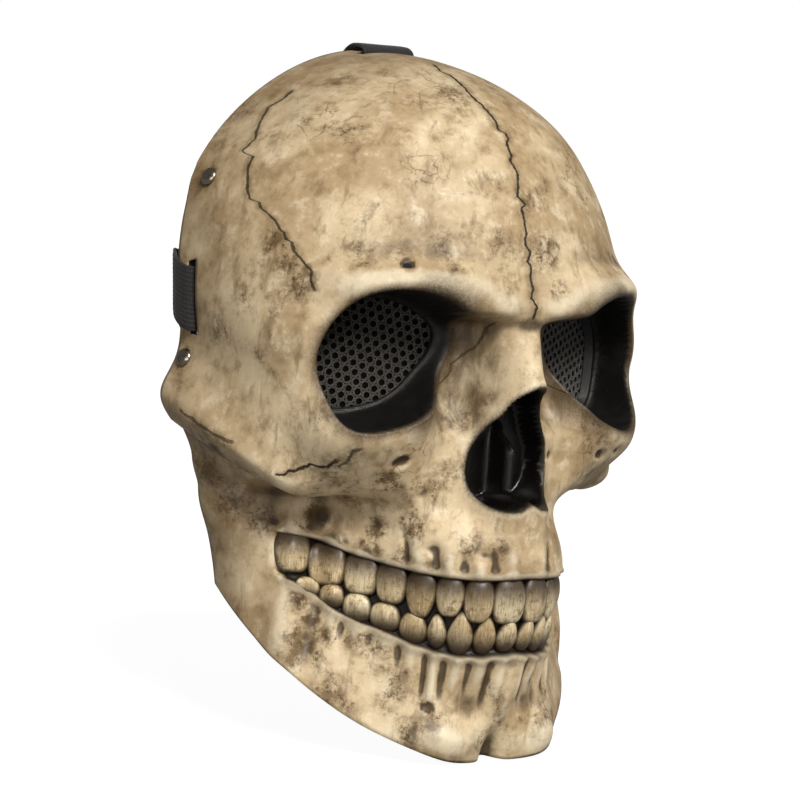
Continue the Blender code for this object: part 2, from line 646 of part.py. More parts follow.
def side_strap():
    """One webbing strap from slot to slot, each end folded round the rim and lapped."""
    outer, inner, edge = side_mouth
    reach = side_slot[0] + outer + STRAP_GAP + STRAP_THICKNESS / 2.0
    begin = edge + STRAP_GAP + STRAP_THICKNESS
    shares = np.linspace(1.0, 0.0, 15)
    main = np.stack([reach * shares - side_slot[0], begin + SIDE_STRAP_SAG * (1.0 - shares ** SIDE_STRAP_ROUNDNESS)], 1)
    fold = rim_fold(outer, inner, edge, main)
    half = round_off(fold + [tuple(p) for p in main[1:]], 1)
    half[:, 0] += side_slot[0]
    path = np.concatenate([half, (half * np.array([-1.0, 1.0]))[-2::-1]])
    origin = side_slot * np.array([0.0, 1.0, 1.0])
    band("side_strap", path, lambda p: origin + p[0] * X_AXIS + p[1] * SIDE_BACK,
         SIDE_WIDE, SIDE_STRAP_WIDTH / 2.0)
    return origin + half[-1, 1] * SIDE_BACK


def top_strap(meet):
    """The strap from the crown slot down to the side strap, which it loops round."""
    outer, inner, edge = top_mouth
    half = STRAP_THICKNESS / 2.0
    offset = STRAP_THICKNESS + LOOP_GAP
    low = SIDE_STRAP_WIDTH / 2.0

    def local(point):
        return ((point - top_slot) @ TOP_OUT, (point - top_slot) @ TOP_BACK)

    begin = (outer + STRAP_GAP + half, edge + STRAP_GAP + half)
    arrive = local(meet + SIDE_BACK * offset + SIDE_WIDE * (low + 3.0 * offset))
    bulge = 0.06 * math.dist(begin, arrive)
    shares = np.linspace(0.0, 1.0, 14)
    straight = np.outer(1.0 - shares, begin) + np.outer(shares, arrive)
    away = unit(np.array([arrive[1] - begin[1], begin[0] - arrive[0]]))
    main = straight + np.outer(np.sin(np.pi * shares), away * bulge)
    loop = [local(meet + SIDE_BACK * offset * math.cos(a) - SIDE_WIDE * (low + offset * math.sin(a)))
            for a in np.linspace(0.0, math.pi, 7)]
    end = local(meet - SIDE_BACK * offset + SIDE_WIDE * low)
    fold = rim_fold(outer, inner, edge, main)
    path = fold + [tuple(p) for p in main[1:]]
    path += [local(meet + SIDE_BACK * offset + SIDE_WIDE * low)] + loop + [end]
    path = round_off(path, 1)
    band("top_strap", path, lambda p: top_slot + p[0] * TOP_OUT + p[1] * TOP_BACK,
         X_AXIS, TOP_STRAP_WIDTH / 2.0)


def rivet(name, at, out):
    """Domed head outside, shank through shell and pad, flange inside."""
    base = 2.0 * CLEARANCE
    depth = WALL + PAD_THICKNESS + 4.0 * CLEARANCE
    profile = [(0.0, base + RIVET_HEAD_HEIGHT)]
    for turn in (30, 55, 75, 90):
        a = math.radians(turn)
        profile.append((RIVET_HEAD_RADIUS * math.sin(a), base + RIVET_HEAD_HEIGHT * math.cos(a)))
    profile[-1] = (RIVET_HEAD_RADIUS, base + 0.15 * RIVET_HEAD_HEIGHT)
    profile += [(RIVET_HEAD_RADIUS, base), (RIVET_SHANK_RADIUS, base), (RIVET_SHANK_RADIUS, -depth),
                (RIVET_FLANGE_RADIUS, -depth), (RIVET_FLANGE_RADIUS, -depth - RIVET_FLANGE),
                (0.0, -depth - RIVET_FLANGE)]
    across = unit(np.cross(out, X_AXIS + SIDE_WIDE))
    third = np.cross(out, across)
    sides = 12
    points = [at + profile[0][1] * out]
    for radius, height in profile[1:-1]:
        for k in range(sides):
            turn = 2.0 * math.pi * k / sides
            points.append(at + height * out + radius * (math.cos(turn) * across + math.sin(turn) * third))
    points.append(at + profile[-1][1] * out)
    rings = len(profile) - 2
    faces = []
    for k in range(sides):
        after = (k + 1) % sides
        faces.append((0, 1 + k, 1 + after))
        tail = 1 + (rings - 1) * sides
        faces.append((len(points) - 1, tail + after, tail + k))
        for ring in range(rings - 1):
            a = 1 + ring * sides
            faces.append((a + k, a + sides + k, a + sides + after, a + after))
    add_object(name, points, faces)


def pad(name, sign, rows, places, pin):
    """A foam strip against the inner face, pierced for the rivet's shank."""
    mirror = np.array([sign, 1.0, 1.0])
    up, along = np.meshgrid(np.linspace(*rows, 7), np.linspace(*places, 4), indexing="ij")
    near = face(up, along, WALL + 2.0 * CLEARANCE).reshape(-1, 3)
    far = face(up, along, WALL + 2.0 * CLEARANCE + PAD_THICKNESS).reshape(-1, 3)
    count = len(near)
    index = np.arange(count).reshape(up.shape)
    quads = [(index[r, c], index[r, c + 1], index[r + 1, c + 1], index[r + 1, c])
             for r in range(up.shape[0] - 1) for c in range(up.shape[1] - 1)]
    edges = {(quad[k], quad[(k + 1) % 4]) for quad in quads for k in range(4)}
    walls = [(b, a, a + count, b + count) for a, b in edges if (b, a) not in edges]
    faces = quads + [tuple(k + count for k in reversed(quad)) for quad in quads] + walls
    foam = add_object(name, np.concatenate([near, far]) * mirror, faces)
    points = []
    faces = []
    at, out = pin
    prism(points, faces, at * mirror, out * mirror, SIDE_WIDE, RIVET_SHANK_RADIUS + CLEARANCE,
          4.0 * (WALL + PAD_THICKNESS), 12)
    cut(foam, add_object(name + "_cutter", points, faces))


mask_shell()
eye_net("eye_net_right", -1.0)
eye_net("eye_net_left", 1.0)
top_strap(side_strap())
strap_top = side_slot[2] + SIDE_WIDE[2] * SIDE_STRAP_WIDTH / 2.0 + PAD_FROM_STRAP
strap_low = side_slot[2] - SIDE_WIDE[2] * SIDE_STRAP_WIDTH / 2.0 - PAD_FROM_STRAP
for word, sign in (("right", -1.0), ("left", 1.0)):
    for name, at, out, near_side, far_side in rivets:
        mirror = np.array([sign, 1.0, 1.0])
        rivet("rivet_" + name + "_" + word, at * mirror, out * mirror)
        span = (row_at(strap_top, far_side), PAD_TOP_ROW)
        if name == "lower":
            span = (row_at(strap_low - PAD_LENGTH, far_side), row_at(strap_low, far_side))
        pad("pad_" + name + "_" + word, sign, span, (near_side, far_side), (at, out))
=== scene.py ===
"""The looks of a worn skull mask: moulded shell with painted bone finish, eye nets, straps, rivets, pads.

Metres, +Z up, in the frame of the CAD model. The face looks along -Y and +X is the wearer's left.
"""
import math

import bmesh
import bpy
import numpy as np
from mathutils import Matrix, Vector


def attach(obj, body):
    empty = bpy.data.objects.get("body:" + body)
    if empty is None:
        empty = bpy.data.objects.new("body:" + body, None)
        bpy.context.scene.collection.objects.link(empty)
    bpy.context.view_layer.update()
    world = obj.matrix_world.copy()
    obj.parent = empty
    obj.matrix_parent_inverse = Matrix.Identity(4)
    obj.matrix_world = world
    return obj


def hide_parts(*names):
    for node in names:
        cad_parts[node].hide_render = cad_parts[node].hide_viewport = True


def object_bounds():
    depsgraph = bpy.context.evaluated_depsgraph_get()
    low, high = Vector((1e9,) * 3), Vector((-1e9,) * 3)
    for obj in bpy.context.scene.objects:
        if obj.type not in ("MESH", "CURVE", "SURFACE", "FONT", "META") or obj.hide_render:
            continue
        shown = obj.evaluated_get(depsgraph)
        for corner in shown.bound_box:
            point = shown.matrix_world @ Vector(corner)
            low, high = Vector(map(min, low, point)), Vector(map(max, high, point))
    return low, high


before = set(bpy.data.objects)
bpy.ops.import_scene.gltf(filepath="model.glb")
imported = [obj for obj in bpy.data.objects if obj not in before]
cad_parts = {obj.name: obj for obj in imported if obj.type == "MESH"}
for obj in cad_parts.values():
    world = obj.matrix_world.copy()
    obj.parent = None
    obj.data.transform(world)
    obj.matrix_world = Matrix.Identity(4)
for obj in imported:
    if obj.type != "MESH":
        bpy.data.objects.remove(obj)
cad_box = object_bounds()


# Camera: a product shot from the mask's right front, a little above the face.
# The roll turns the mask slightly clockwise in the picture, as it is in the photograph.
CAMERA_AZIMUTH = math.radians(-38.0)
CAMERA_ELEVATION = math.radians(5.5)
CAMERA_ROLL = math.radians(4.3)
CAMERA_DISTANCE = 1.2
CAMERA_AIM = Vector((0.0, 0.045, -0.023))
back = Vector((math.sin(CAMERA_AZIMUTH) * math.cos(CAMERA_ELEVATION),
               -math.cos(CAMERA_AZIMUTH) * math.cos(CAMERA_ELEVATION), math.sin(CAMERA_ELEVATION)))
level = Vector((math.cos(CAMERA_AZIMUTH), math.sin(CAMERA_AZIMUTH), 0.0))
upward = back.cross(level)
picture_right = math.cos(CAMERA_ROLL) * level + math.sin(CAMERA_ROLL) * upward
picture_up = math.cos(CAMERA_ROLL) * upward - math.sin(CAMERA_ROLL) * level
lens = bpy.data.cameras.new("camera")
lens.sensor_width = 36.0
lens.lens = 140.26
camera = bpy.data.objects.new("camera", lens)
bpy.context.scene.collection.objects.link(camera)
place = CAMERA_AIM - 0.0166 * picture_right + 0.0008 * picture_up + CAMERA_DISTANCE * back
turned = Matrix((picture_right, picture_up, back)).transposed().to_4x4()
camera.matrix_world = Matrix.Translation(place) @ turned
bpy.context.scene.camera = camera


# Studio: a white paper floor that runs out of sight under an even white sky.
# A broad soft key from high in front models the face, and two low lights lift its sides.
def linear(code):
    """A colour for the shaders from an sRGB hex code."""
    parts = [int(code[k:k + 2], 16) / 255.0 for k in (1, 3, 5)]
    return tuple(c / 12.92 if c <= 0.04045 else ((c + 0.055) / 1.055) ** 2.4 for c in parts) + (1.0,)


def add_node(tree, kind, inputs=(), **settings):
    """Adds one node; settings are its properties and inputs its sockets, as values or links."""
    node = tree.nodes.new("ShaderNode" + kind)
    for name, value in settings.items():
        setattr(node, name, value)
    for name, value in dict(inputs).items():
        if isinstance(value, bpy.types.NodeSocket):
            tree.links.new(value, node.inputs[name])
        else:
            node.inputs[name].default_value = value
    return node


def new_material(name):
    """An empty material with its surface output."""
    material = bpy.data.materials.new(name)
    material.use_nodes = True
    material.node_tree.nodes.clear()
    return material, material.node_tree, add_node(material.node_tree, "OutputMaterial")


def add_sun(name, azimuth, elevation, strength, softness, tint):
    """A soft light from far away; azimuth 0 shines from the front, positive from the mask's left."""
    light = bpy.data.lights.new(name, "SUN")
    light.energy = strength
    light.angle = math.radians(softness)
    light.color = linear(tint)[:3]
    lamp = bpy.data.objects.new(name, light)
    bpy.context.scene.collection.objects.link(lamp)
    a, e = math.radians(azimuth), math.radians(elevation)
    towards = Vector((math.sin(a) * math.cos(e), -math.cos(a) * math.cos(e), math.sin(e)))
    lamp.matrix_world = towards.to_track_quat("Z", "Y").to_matrix().to_4x4()


add_sun("key_light", -16.0, 42.0, 3.25, 22.0, "#FFFAF2")
add_sun("low_light", -50.0, 2.0, 0.95, 40.0, "#FFFAF4")
add_sun("far_light", 50.0, 10.0, 0.40, 50.0, "#FFFFFF")

sky = bpy.data.worlds.new("white_sky")
sky.use_nodes = True
sky.node_tree.nodes.clear()
sky_output = add_node(sky.node_tree, "OutputWorld")
sky_path = add_node(sky.node_tree, "LightPath")
sky_level = add_node(sky.node_tree, "MapRange", {"Value": sky_path.outputs["Is Camera Ray"],
                                                 "To Min": 0.14, "To Max": 1.0})
sky_light = add_node(sky.node_tree, "Background", {"Color": (1.0, 1.0, 1.0, 1.0),
                                                   "Strength": sky_level.outputs["Result"]})
sky.node_tree.links.new(sky_light.outputs[0], sky_output.inputs["Surface"])
bpy.context.scene.world = sky
bpy.context.scene.view_settings.view_transform = "Standard"


def object_of(build, name):
    """Turns a finished bmesh into an object of the scene."""
    mesh = bpy.data.meshes.new(name)
    build.to_mesh(mesh)
    build.free()
    piece = bpy.data.objects.new(name, mesh)
    bpy.context.scene.collection.objects.link(piece)
    return piece


FLOOR_REACH = 14.0
sweep = bmesh.new()
bmesh.ops.create_circle(sweep, cap_ends=True, segments=96, radius=FLOOR_REACH)
bmesh.ops.translate(sweep, verts=sweep.verts, vec=(0.0, 0.0, cad_box[0].z - 0.0005))
floor = object_of(sweep, "paper_floor")
# Matt white seamless paper, lit through for the camera so that the shadow on it stays pale
paper, tree, output = new_material("white_seamless_paper")
paper_path = add_node(tree, "LightPath")
paper_level = add_node(tree, "MapRange", {"Value": paper_path.outputs["Is Camera Ray"],
                                          "To Min": 0.06, "To Max": 0.95})
paper_skin = add_node(tree, "BsdfPrincipled", {"Base Color": linear("#707070"), "Roughness": 0.9,
                                               "Specular IOR Level": 0.1,
                                               "Emission Color": (1.0, 1.0, 1.0, 1.0),
                                               "Emission Strength": paper_level.outputs["Result"]})
tree.links.new(paper_skin.outputs[0], output.inputs["Surface"])
floor.data.materials.append(paper)


# Mask shell: one piece of rigid ABS, 3 mm thick, moulded as a human skull from crown to chin.
# It has sunk eye sockets, a blind nose, two rows of teeth in relief and three strap slots,
# and it is painted by hand: cream bone, brown washes in the hollows, painted shade in the broad hollows and
# black in the cavities.
HEIGHT = 0.265
WIDTH = 0.0925
DEPTH = 0.100
WALL = 0.003
MM = 0.001
# midline depth, midline height, rim depth, rim height, half width, wrap in degrees, hollow
SECTIONS = np.array([
    [0.000, -0.582, 0.810, -0.366, 0.818, 90.0, 0.000],
    [-0.030, -0.521, 0.820, -0.332, 0.832, 90.0, 0.070],
    [-0.060, -0.460, 0.835, -0.294, 0.854, 90.0, 0.150],
    [-0.095, -0.396, 0.855, -0.249, 0.897, 90.0, 0.230],
    [-0.120, -0.340, 0.870, -0.204, 0.935, 90.0, 0.270],
    [-0.115, -0.272, 0.885, -0.166, 0.968, 90.0, 0.260],
    [-0.095, -0.208, 0.900, -0.121, 0.989, 90.0, 0.150],
    [-0.060, -0.113, 0.920, -0.068, 1.000, 90.0, 0.000],
    [-0.045, -0.019, 0.940, -0.011, 1.000, 90.0, -0.030],
    [-0.040, 0.057, 0.955, 0.030, 0.998, 90.0, -0.035],
    [-0.020, 0.121, 0.965, 0.060, 0.994, 89.0, -0.025],
    [0.035, 0.196, 0.975, 0.091, 0.989, 87.6, -0.022],
    [0.148, 0.276, 0.985, 0.121, 0.980, 84.0, -0.014],
    [0.315, 0.343, 0.995, 0.151, 0.966, 79.0, -0.008],
    [0.540, 0.385, 1.005, 0.177, 0.947, 72.8, -0.002],
    [0.800, 0.408, 1.015, 0.204, 0.928, 65.3, 0.008],
    [1.060, 0.415, 1.020, 0.226, 0.908, 60.0, 0.010],
]) * np.array([DEPTH, HEIGHT, DEPTH, HEIGHT, WIDTH, 1.0, WIDTH])
# Round swellings and hollows: across and up in shares of width and height, spreads, rise in mm
SWELLINGS = [
    (0.14, 0.070, 0.110, 0.030, 3.0), (0.00, 0.044, 0.100, 0.018, -2.0),
    (0.86, -0.020, 0.114, 0.098, 6.0), (0.36, -0.155, 0.140, 0.060, -3.0),
    (0.60, -0.250, 0.150, 0.038, -3.0), (0.02, -0.220, 0.110, 0.030, 2.0),
    (0.00, -0.345, 0.520, 0.083, 1.0), (0.24, -0.548, 0.124, 0.043, 7.5),
    (0.00, -0.580, 0.052, 0.045, -6.5), (0.00, -0.485, 0.043, 0.045, 2.0),
    (0.15, -0.500, 0.086, 0.038, -2.5),
]
SOCKET_X = 0.508 * WIDTH
SOCKET_Z = -0.0075 * HEIGHT
SOCKET_RADIUS = 0.025
SOCKET_OUTLINE = [(0, 1.01), (45, 1.00), (90, 0.96), (130, 1.00), (158, 1.05), (178, 0.93),
                  (205, 0.80), (240, 0.84), (270, 0.98), (300, 1.13), (330, 1.08)]
SOCKET_YAW = math.radians(24.0)
SOCKET_FLOOR = 0.295 * DEPTH
NOSE_FLOOR = 0.13 * DEPTH
SEPTUM_RISE = 13.0 * MM
SEPTUM_HALF = 1.7 * MM
SOCKET_RING = 0.0044
CAVITY_EDGE = 0.0034
NOSE_Z = -0.151 * HEIGHT
NOSE_HALF_WIDTH = 0.0185
NOSE_OUTLINE = [(0, 1.00), (20, 1.00), (38, 1.02), (58, 1.18), (75, 1.46), (90, 1.56), (102, 1.40),
                (116, 1.12), (135, 1.01), (158, 1.00), (180, 1.03), (198, 1.09), (214, 1.13), (234, 1.13),
                (253, 0.99), (270, 0.80), (287, 0.95), (306, 1.08), (326, 1.08), (342, 1.04)]
# Heights of the mouth along the shell, in shares of the mask's height
MOUTH = np.array([
    # along, upper gum, upper tips, lower tips, lower gum
    [0.00, -0.312, -0.377, -0.366, -0.418], [0.17, -0.316, -0.374, -0.362, -0.424],
    [0.30, -0.313, -0.372, -0.369, -0.413], [0.40, -0.308, -0.360, -0.363, -0.399],
    [0.49, -0.303, -0.352, -0.351, -0.390], [0.58, -0.294, -0.343, -0.342, -0.375],
    [0.65, -0.285, -0.336, -0.335, -0.355], [0.76, -0.277, -0.324, -0.324, -0.334],
])
# Places between the teeth along the shell, from the midline, for the roots
UPPER_EDGES = [0.0, 0.092, 0.170, 0.243, 0.327, 0.422, 0.539, 0.661, 0.762]
LOWER_EDGES = [0.0, 0.068, 0.134, 0.207, 0.262, 0.345, 0.442, 0.539, 0.625, 0.700]
MOUTH_RECESS = 2.6 * MM
# A distance in mm that is past every painted edge
PAST_PAINT = 40.0
# Small holes that nerves leave in a skull: place in mm, radius and depth in mm
NERVE_HOLES = [
    ((-48.8, -2.0, 31.0), 2.3, 2.2), ((62.1, 8.0, 31.5), 2.0, 2.0), ((-45.3, 2.0, -39.7), 2.3, 2.4),
    ((47.2, 4.0, -37.3), 2.0, 2.0), ((63.7, 14.0, -36.7), 1.8, 1.8), ((21.3, -2.0, -39.5), 1.5, 1.2),
    ((-28.1, -4.0, -132.8), 2.1, 2.0), ((31.0, -3.0, -130.5), 1.9, 1.8),
]
# Places where stain gathers, and along the lower edge of the cheekbone arches a painted shadow: place in mm,
# radius in mm, amount; the other side gets less
STAINS_AND_SHADOWS = [
    (-81.6, 50.5, 34.5, 7, 0.8), (-80.4, 42.1, 29.0, 6, 0.8), (-79.2, 33.4, 23.1, 6, 0.7),
    (-88.9, 57.0, 13.3, 8, 0.5), (-90.3, 70.1, 1.1, 9, 0.6), (3.2, 6.0, 57.6, 7, 0.6),
    (7.4, -0.1, 39.6, 9, 0.7), (12.5, -4.5, 25.1, 6, 0.6), (-10.9, 9.9, 64.2, 5, 0.5),
    (-50.6, 12.6, 36.7, 8, 0.45), (-63.6, 18.5, 31.4, 7, 0.5), (-36.9, 6.6, 39.4, 8, 0.5),
    (-34.8, -0.7, 31.0, 5, 0.5), (-48.8, 13.9, -48.0, 5, 0.9), (-33.8, 6.3, -53.5, 3.5, 1.2),
    (-52.1, 51.7, -67.0, 5, 1.3), (-40.4, 29.1, -68.5, 4.5, 1.3), (-48.1, 38.4, -58.3, 5, 0.7),
    (-30.1, 3.5, -56.2, 5, 0.7), (-20.8, -4.5, -70.1, 6, 0.7), (-11.2, -10.0, -71.4, 5, 0.8),
    (-34.9, 14.2, -67.0, 6, 0.8), (-60.2, 49.1, -74.0, 6, 1.2), (-49.9, 43.3, -76.0, 5, 1.2),
    (-42.1, 31.4, -78.1, 5, 1.2), (-36.1, 17.4, -78.8, 4, 0.9), (-30.4, 6.4, -79.4, 3, 0.7),
    (-28.8, 1.0, -138.8, 6, 0.8), (-34.3, 5.6, -143.1, 7, 0.9), (-38.7, 14.3, -127.6, 8, 0.6),
    (-7.2, -1.8, -145.0, 6, 0.6), (29.3, 5.8, -129.7, 5, 0.8), (-48.1, 28.7, -110.9, 7, 0.5),
    (-61.2, 42.9, -112.8, 9, 0.7), (-55.8, 28.5, -129.4, 8, 0.5), (-64.6, 47.8, -86.9, 5, 1.2),
    (-61.1, 45.0, -97.7, 5, 1.2), (-56.2, 43.9, -105.6, 5, 1.1), (-54.8, 35.5, -109.9, 5, 0.9),
    (-85.1, 81.6, -53.3, 8, 0.9), (-78.3, 70.2, -63.4, 8, 0.9), (-70.1, 60.2, -69.8, 7, 0.9),
    (-65.2, 100.8, 82.6, 10, 0.5), (-40.2, 71.5, 96.9, 9, 0.6), (-6.2, 41.3, 96.5, 6, 0.5),
    (-54.8, 42.4, 74.9, 8, 0.4), (-71.0, 24.0, 8.0, 5, 0.6), (-19.5, -3.0, 1.0, 7, 0.8),
    # The last place of this row and the three of the next row follow the lower edge of the cheekbone arch: a
    # painted shadow under the arch
    (-83.1, 92.2, 57.0, 5, 0.7), (-92.0, 87.7, -11.4, 5, 0.8), (-91.0, 66.0, -44.0, 6, 1.0),
    (-85.0, 58.0, -52.0, 6, 1.1), (-78.0, 48.0, -58.0, 6, 1.1), (-68.0, 38.0, -62.0, 6, 1.0),
    (-20.0, -6.0, -68.0, 4, 0.9), (-60.0, 22.0, -58.0, 5, 0.7),
]
# Where fine hairlines craze the paint
CRAZING = [(-22.0, 50.0, 97.0, 20), (36.0, 22.0, 66.0, 16), (-45.0, 8.0, -37.0, 11), (-58.0, 60.0, 80.0, 12)]
# Rough pits eaten into the upper jaw: place in mm and radius in mm
PITS = [
    (-52.1, 51.7, -67.0, 3.8), (-40.4, 29.1, -68.5, 3.6), (-33.8, 6.3, -53.5, 2.6),
    (-31.0, 4.0, -73.5, 2.4), (-16.5, -8.0, -74.0, 2.2), (25.4, -0.3, -38.7, 1.9),
    (54.2, 6.4, -34.2, 1.5), (58.8, 22.4, -50.1, 2.2),
]


def smooth(value):
    """Runs from 0 to 1 with level ends."""
    value = np.clip(value, 0.0, 1.0)
    return value * value * (3.0 - 2.0 * value)


def bell(distance, spread):
    """A round bump of height 1."""
    return np.exp(-(distance / spread) ** 2)


def curve(places, values, at):
    """Smooth curve through rows of values."""
    slopes = np.gradient(values, places, axis=0)
    low = np.clip(np.searchsorted(places, at, side="right") - 1, 0, len(places) - 2)
    step = places[low + 1] - places[low]
    part = (at - places[low]) / step
    if values.ndim > 1:
        step, part = step[..., None], part[..., None]
    return ((2 * part ** 3 - 3 * part ** 2 + 1) * values[low]
            + (part ** 3 - 2 * part ** 2 + part) * step * slopes[low]
            + (3 * part ** 2 - 2 * part ** 3) * values[low + 1]
            + (part ** 3 - part ** 2) * step * slopes[low + 1])


section_run = (0.7 * np.hypot(np.diff(SECTIONS[:, 0]), np.diff(SECTIONS[:, 1]))
               + 0.3 * np.hypot(np.diff(SECTIONS[:, 2]), np.diff(SECTIONS[:, 3])))
PLACES = np.concatenate([[0.0], np.cumsum(section_run)]) / section_run.sum()


def plain_shell(up, along):
    """The shell without relief: up from 0 at the jaw to 1 at the crown, along from -1 to 1.

    The corner where the side rim meets the crown's rim is rounded off a little.
    """
    row = curve(PLACES, SECTIONS, up)
    mid_y, mid_z, rim_y, rim_z, half, wrap, hollow = [row[..., k] for k in range(7)]
    end = np.radians(wrap)
    corner = smooth((up - 0.955) / 0.045) * smooth((np.abs(along) - 0.90) / 0.10)
    angle = along * end * (1.0 - 0.022 * corner)
    dent = hollow * np.sin(np.pi * np.abs(along)) ** 2 * (0.7 + 0.6 * np.abs(along))
    keep = 1.0 - math.sqrt(2.0) * dent / np.hypot(half, rim_y - mid_y)
    x = half * np.sin(angle) / np.sin(end) * keep
    forward = (np.cos(angle) - np.cos(end)) / (1.0 - np.cos(end)) * keep
    return np.stack([x, rim_y + (mid_y - rim_y) * forward, rim_z + (mid_z - rim_z) * forward], -1)


def plain_normals(up, along, step=0.001):
    """Outward directions of the plain shell."""
    across = plain_shell(up, along + step) - plain_shell(up, along - step)
    rise = plain_shell(up + step, along) - plain_shell(up - step, along)
    out = np.cross(across, rise)
    return out / np.linalg.norm(out, axis=-1, keepdims=True)


def outline_distance(x, z, centre_x, centre_z, outline, size):
    """Distance outside a round outline that is given by degrees and shares of a size."""
    table = np.array(outline, float)
    turn = np.degrees(np.arctan2(z - centre_z, x - centre_x)) % 360.0
    places = np.concatenate([table[:, 0] - 360.0, table[:, 0], table[:, 0] + 360.0])
    radius = curve(places, np.tile(table[:, 1], 3), turn) * size
    return np.hypot(x - centre_x, z - centre_z) - radius


def socket_distance(x, z):
    return outline_distance(np.abs(x), z, SOCKET_X, SOCKET_Z, SOCKET_OUTLINE, SOCKET_RADIUS)


def nose_distance(x, z):
    return outline_distance(x, z, 0.0, NOSE_Z, NOSE_OUTLINE, NOSE_HALF_WIDTH)


def main_relief(x, y, z, along):
    """Brow, cheekbones, nose bridge, jaw and the round swellings, as a height."""
    side = np.abs(x)
    relief = np.zeros_like(x)
    for across, up, spread_across, spread_up, rise in SWELLINGS:
        bump = bell(side - across * WIDTH, spread_across * WIDTH) * bell(z - up * HEIGHT, spread_up * HEIGHT)
        relief += rise * MM * bump
    brow = 0.100 * HEIGHT - 0.10 * np.clip(side - 0.50 * WIDTH, 0, None)
    brow -= 0.16 * np.clip(0.35 * WIDTH - side, 0, None)
    ends = smooth((side / WIDTH - 0.08) / 0.25) * smooth((0.93 - side / WIDTH) / 0.22)
    relief += 5.5 * MM * bell(z - brow, 0.032 * HEIGHT) * ends
    cheek = bell(side - 0.70 * WIDTH, 0.216 * WIDTH)
    cheek = cheek * smooth((z / HEIGHT + 0.230) / 0.042) * smooth((-0.020 - z / HEIGHT) / 0.106)
    relief += 11.5 * MM * cheek
    start = (0.34 * DEPTH, -0.185 * HEIGHT)
    run = (0.58 * DEPTH, 0.085 * HEIGHT)
    length = math.hypot(*run)
    arch_along = ((y - start[0]) * run[0] + (z - start[1]) * run[1]) / length ** 2
    arch_off = ((z - start[1]) * run[0] - (y - start[0]) * run[1]) / length
    on_side = smooth((arch_along + 0.05) / 0.25) * smooth((side / WIDTH - 0.55) / 0.2)
    relief += 5.8 * MM * bell(arch_off - 0.008 * HEIGHT, 0.032 * HEIGHT) * on_side
    edge = smooth(-(arch_off + 0.024 * HEIGHT) / (0.013 * HEIGHT)) * bell(arch_off, 0.075 * HEIGHT)
    relief -= 3.4 * MM * edge * on_side
    below = bell(arch_off + 0.070 * HEIGHT, 0.036 * HEIGHT) * smooth((1.2 - arch_along) / 0.5)
    relief -= 4.64 * MM * below * on_side
    relief -= 3.19 * MM * bell(arch_off - 0.090 * HEIGHT, 0.057 * HEIGHT) * on_side
    bridge = smooth((0.055 - z / HEIGHT) / 0.13) * smooth((z / HEIGHT + 0.13) / 0.05)
    relief += 8.0 * MM * bridge * bell(x, 0.092 * WIDTH)
    front = 0.655 + 0.02 * smooth(-(z / HEIGHT + 0.20) / 0.2)
    fade = smooth(-(0.20 + z / HEIGHT) / 0.05) * smooth((z / HEIGHT + 0.50) / 0.08)
    relief += 3.0 * MM * fade * bell(along - front - 0.050, 0.050)
    relief -= 3.2 * MM * fade * bell(along - front + 0.034, 0.038)
    return relief


def flank_drop(x, z, inset):
    """How far the flanks of the nose fall back, to the sockets and beside the nose opening."""
    side = np.abs(x) / WIDTH
    up = z / HEIGHT
    more = 0.7 * inset / WIDTH
    wide = inset / HEIGHT
    upper = smooth((up + 0.125 + wide) / 0.065) * smooth((0.060 - up + wide) / 0.024)
    upper = upper * smooth((side - 0.020 + more) / 0.205) * smooth((0.43 - side + more) / 0.16)
    lower = smooth((wide - up - 0.055) / 0.065) * smooth((up + 0.275 + wide) / 0.06)
    lower = lower * smooth((side - 0.08 + more) / 0.13) * smooth((0.49 - side + more) / 0.22)
    return 18.0 * MM * upper + 9.5 * MM * lower


def mouth_lines(along):
    """Upper gum, upper tips, lower tips and lower gum at places along the shell, in metres."""
    lines = curve(MOUTH[:, 0], MOUTH[:, 1:] * HEIGHT, np.clip(along, 0.0, 0.76))
    return [lines[..., k] for k in range(4)]


def mouth_band(z, along):
    """1 in the sunk band that the teeth stand in."""
    upper_gum, _, _, lower_gum = mouth_lines(along)
    edge = 0.006 * HEIGHT
    band = smooth((upper_gum - z) / edge + 0.5) * smooth((z - lower_gum) / edge + 0.5)
    return band * smooth((0.778 - along) / 0.04)


def root_relief(z, along):
    """The gum lips, and the roots with the furrows between them, above and below the crowns."""
    upper_gum, _, _, lower_gum = mouth_lines(along)
    relief = -MOUTH_RECESS * mouth_band(z, along)
    rows = ((UPPER_EDGES, upper_gum, 1.0, 0.066), (LOWER_EDGES, lower_gum, -1.0, 0.100))
    for edges, gum, sign, length in rows:
        off = (z - gum) * sign / HEIGHT
        for number in range(8):
            low, high = edges[number], edges[number + 1]
            middle, half = (low + high) / 2.0, (high - low) / 2.0
            share = (1.0 - 0.28 * ((number * 5) % 3) / 2.0) * (1.0 if middle < 0.35 else 0.62)
            lean = middle + 0.10 * off
            root = smooth((off + 0.003) / 0.010) * smooth((length * share - off) / (0.6 * length))
            relief += 1.7 * MM * root * bell(along - lean, 0.50 * half)
            furrow = smooth((off - 0.002) / 0.014) * smooth((length * 0.9 * share - off) / (0.45 * length))
            relief -= 1.5 * MM * furrow * bell(along - high - 0.10 * off, 0.32 * half)
        lip = bell((z - gum) * sign - 0.006 * HEIGHT, 0.006 * HEIGHT)
        relief += 0.9 * MM * lip * smooth((0.74 - along) / 0.05)
    return relief


def gathered(points, places):
    """How much of a list of round places reaches each point; places hold x, y, z, radius and amount."""
    total = np.zeros(points.shape[:-1])
    for x, y, z, radius, amount in places:
        for side, share in ((1.0, 1.0), (-1.0, 0.6)):
            apart = np.linalg.norm(points / MM - np.array([side * x, y, z]), axis=-1)
            total = np.maximum(total, amount * share * np.exp(-(apart / radius) ** 2))
    return total


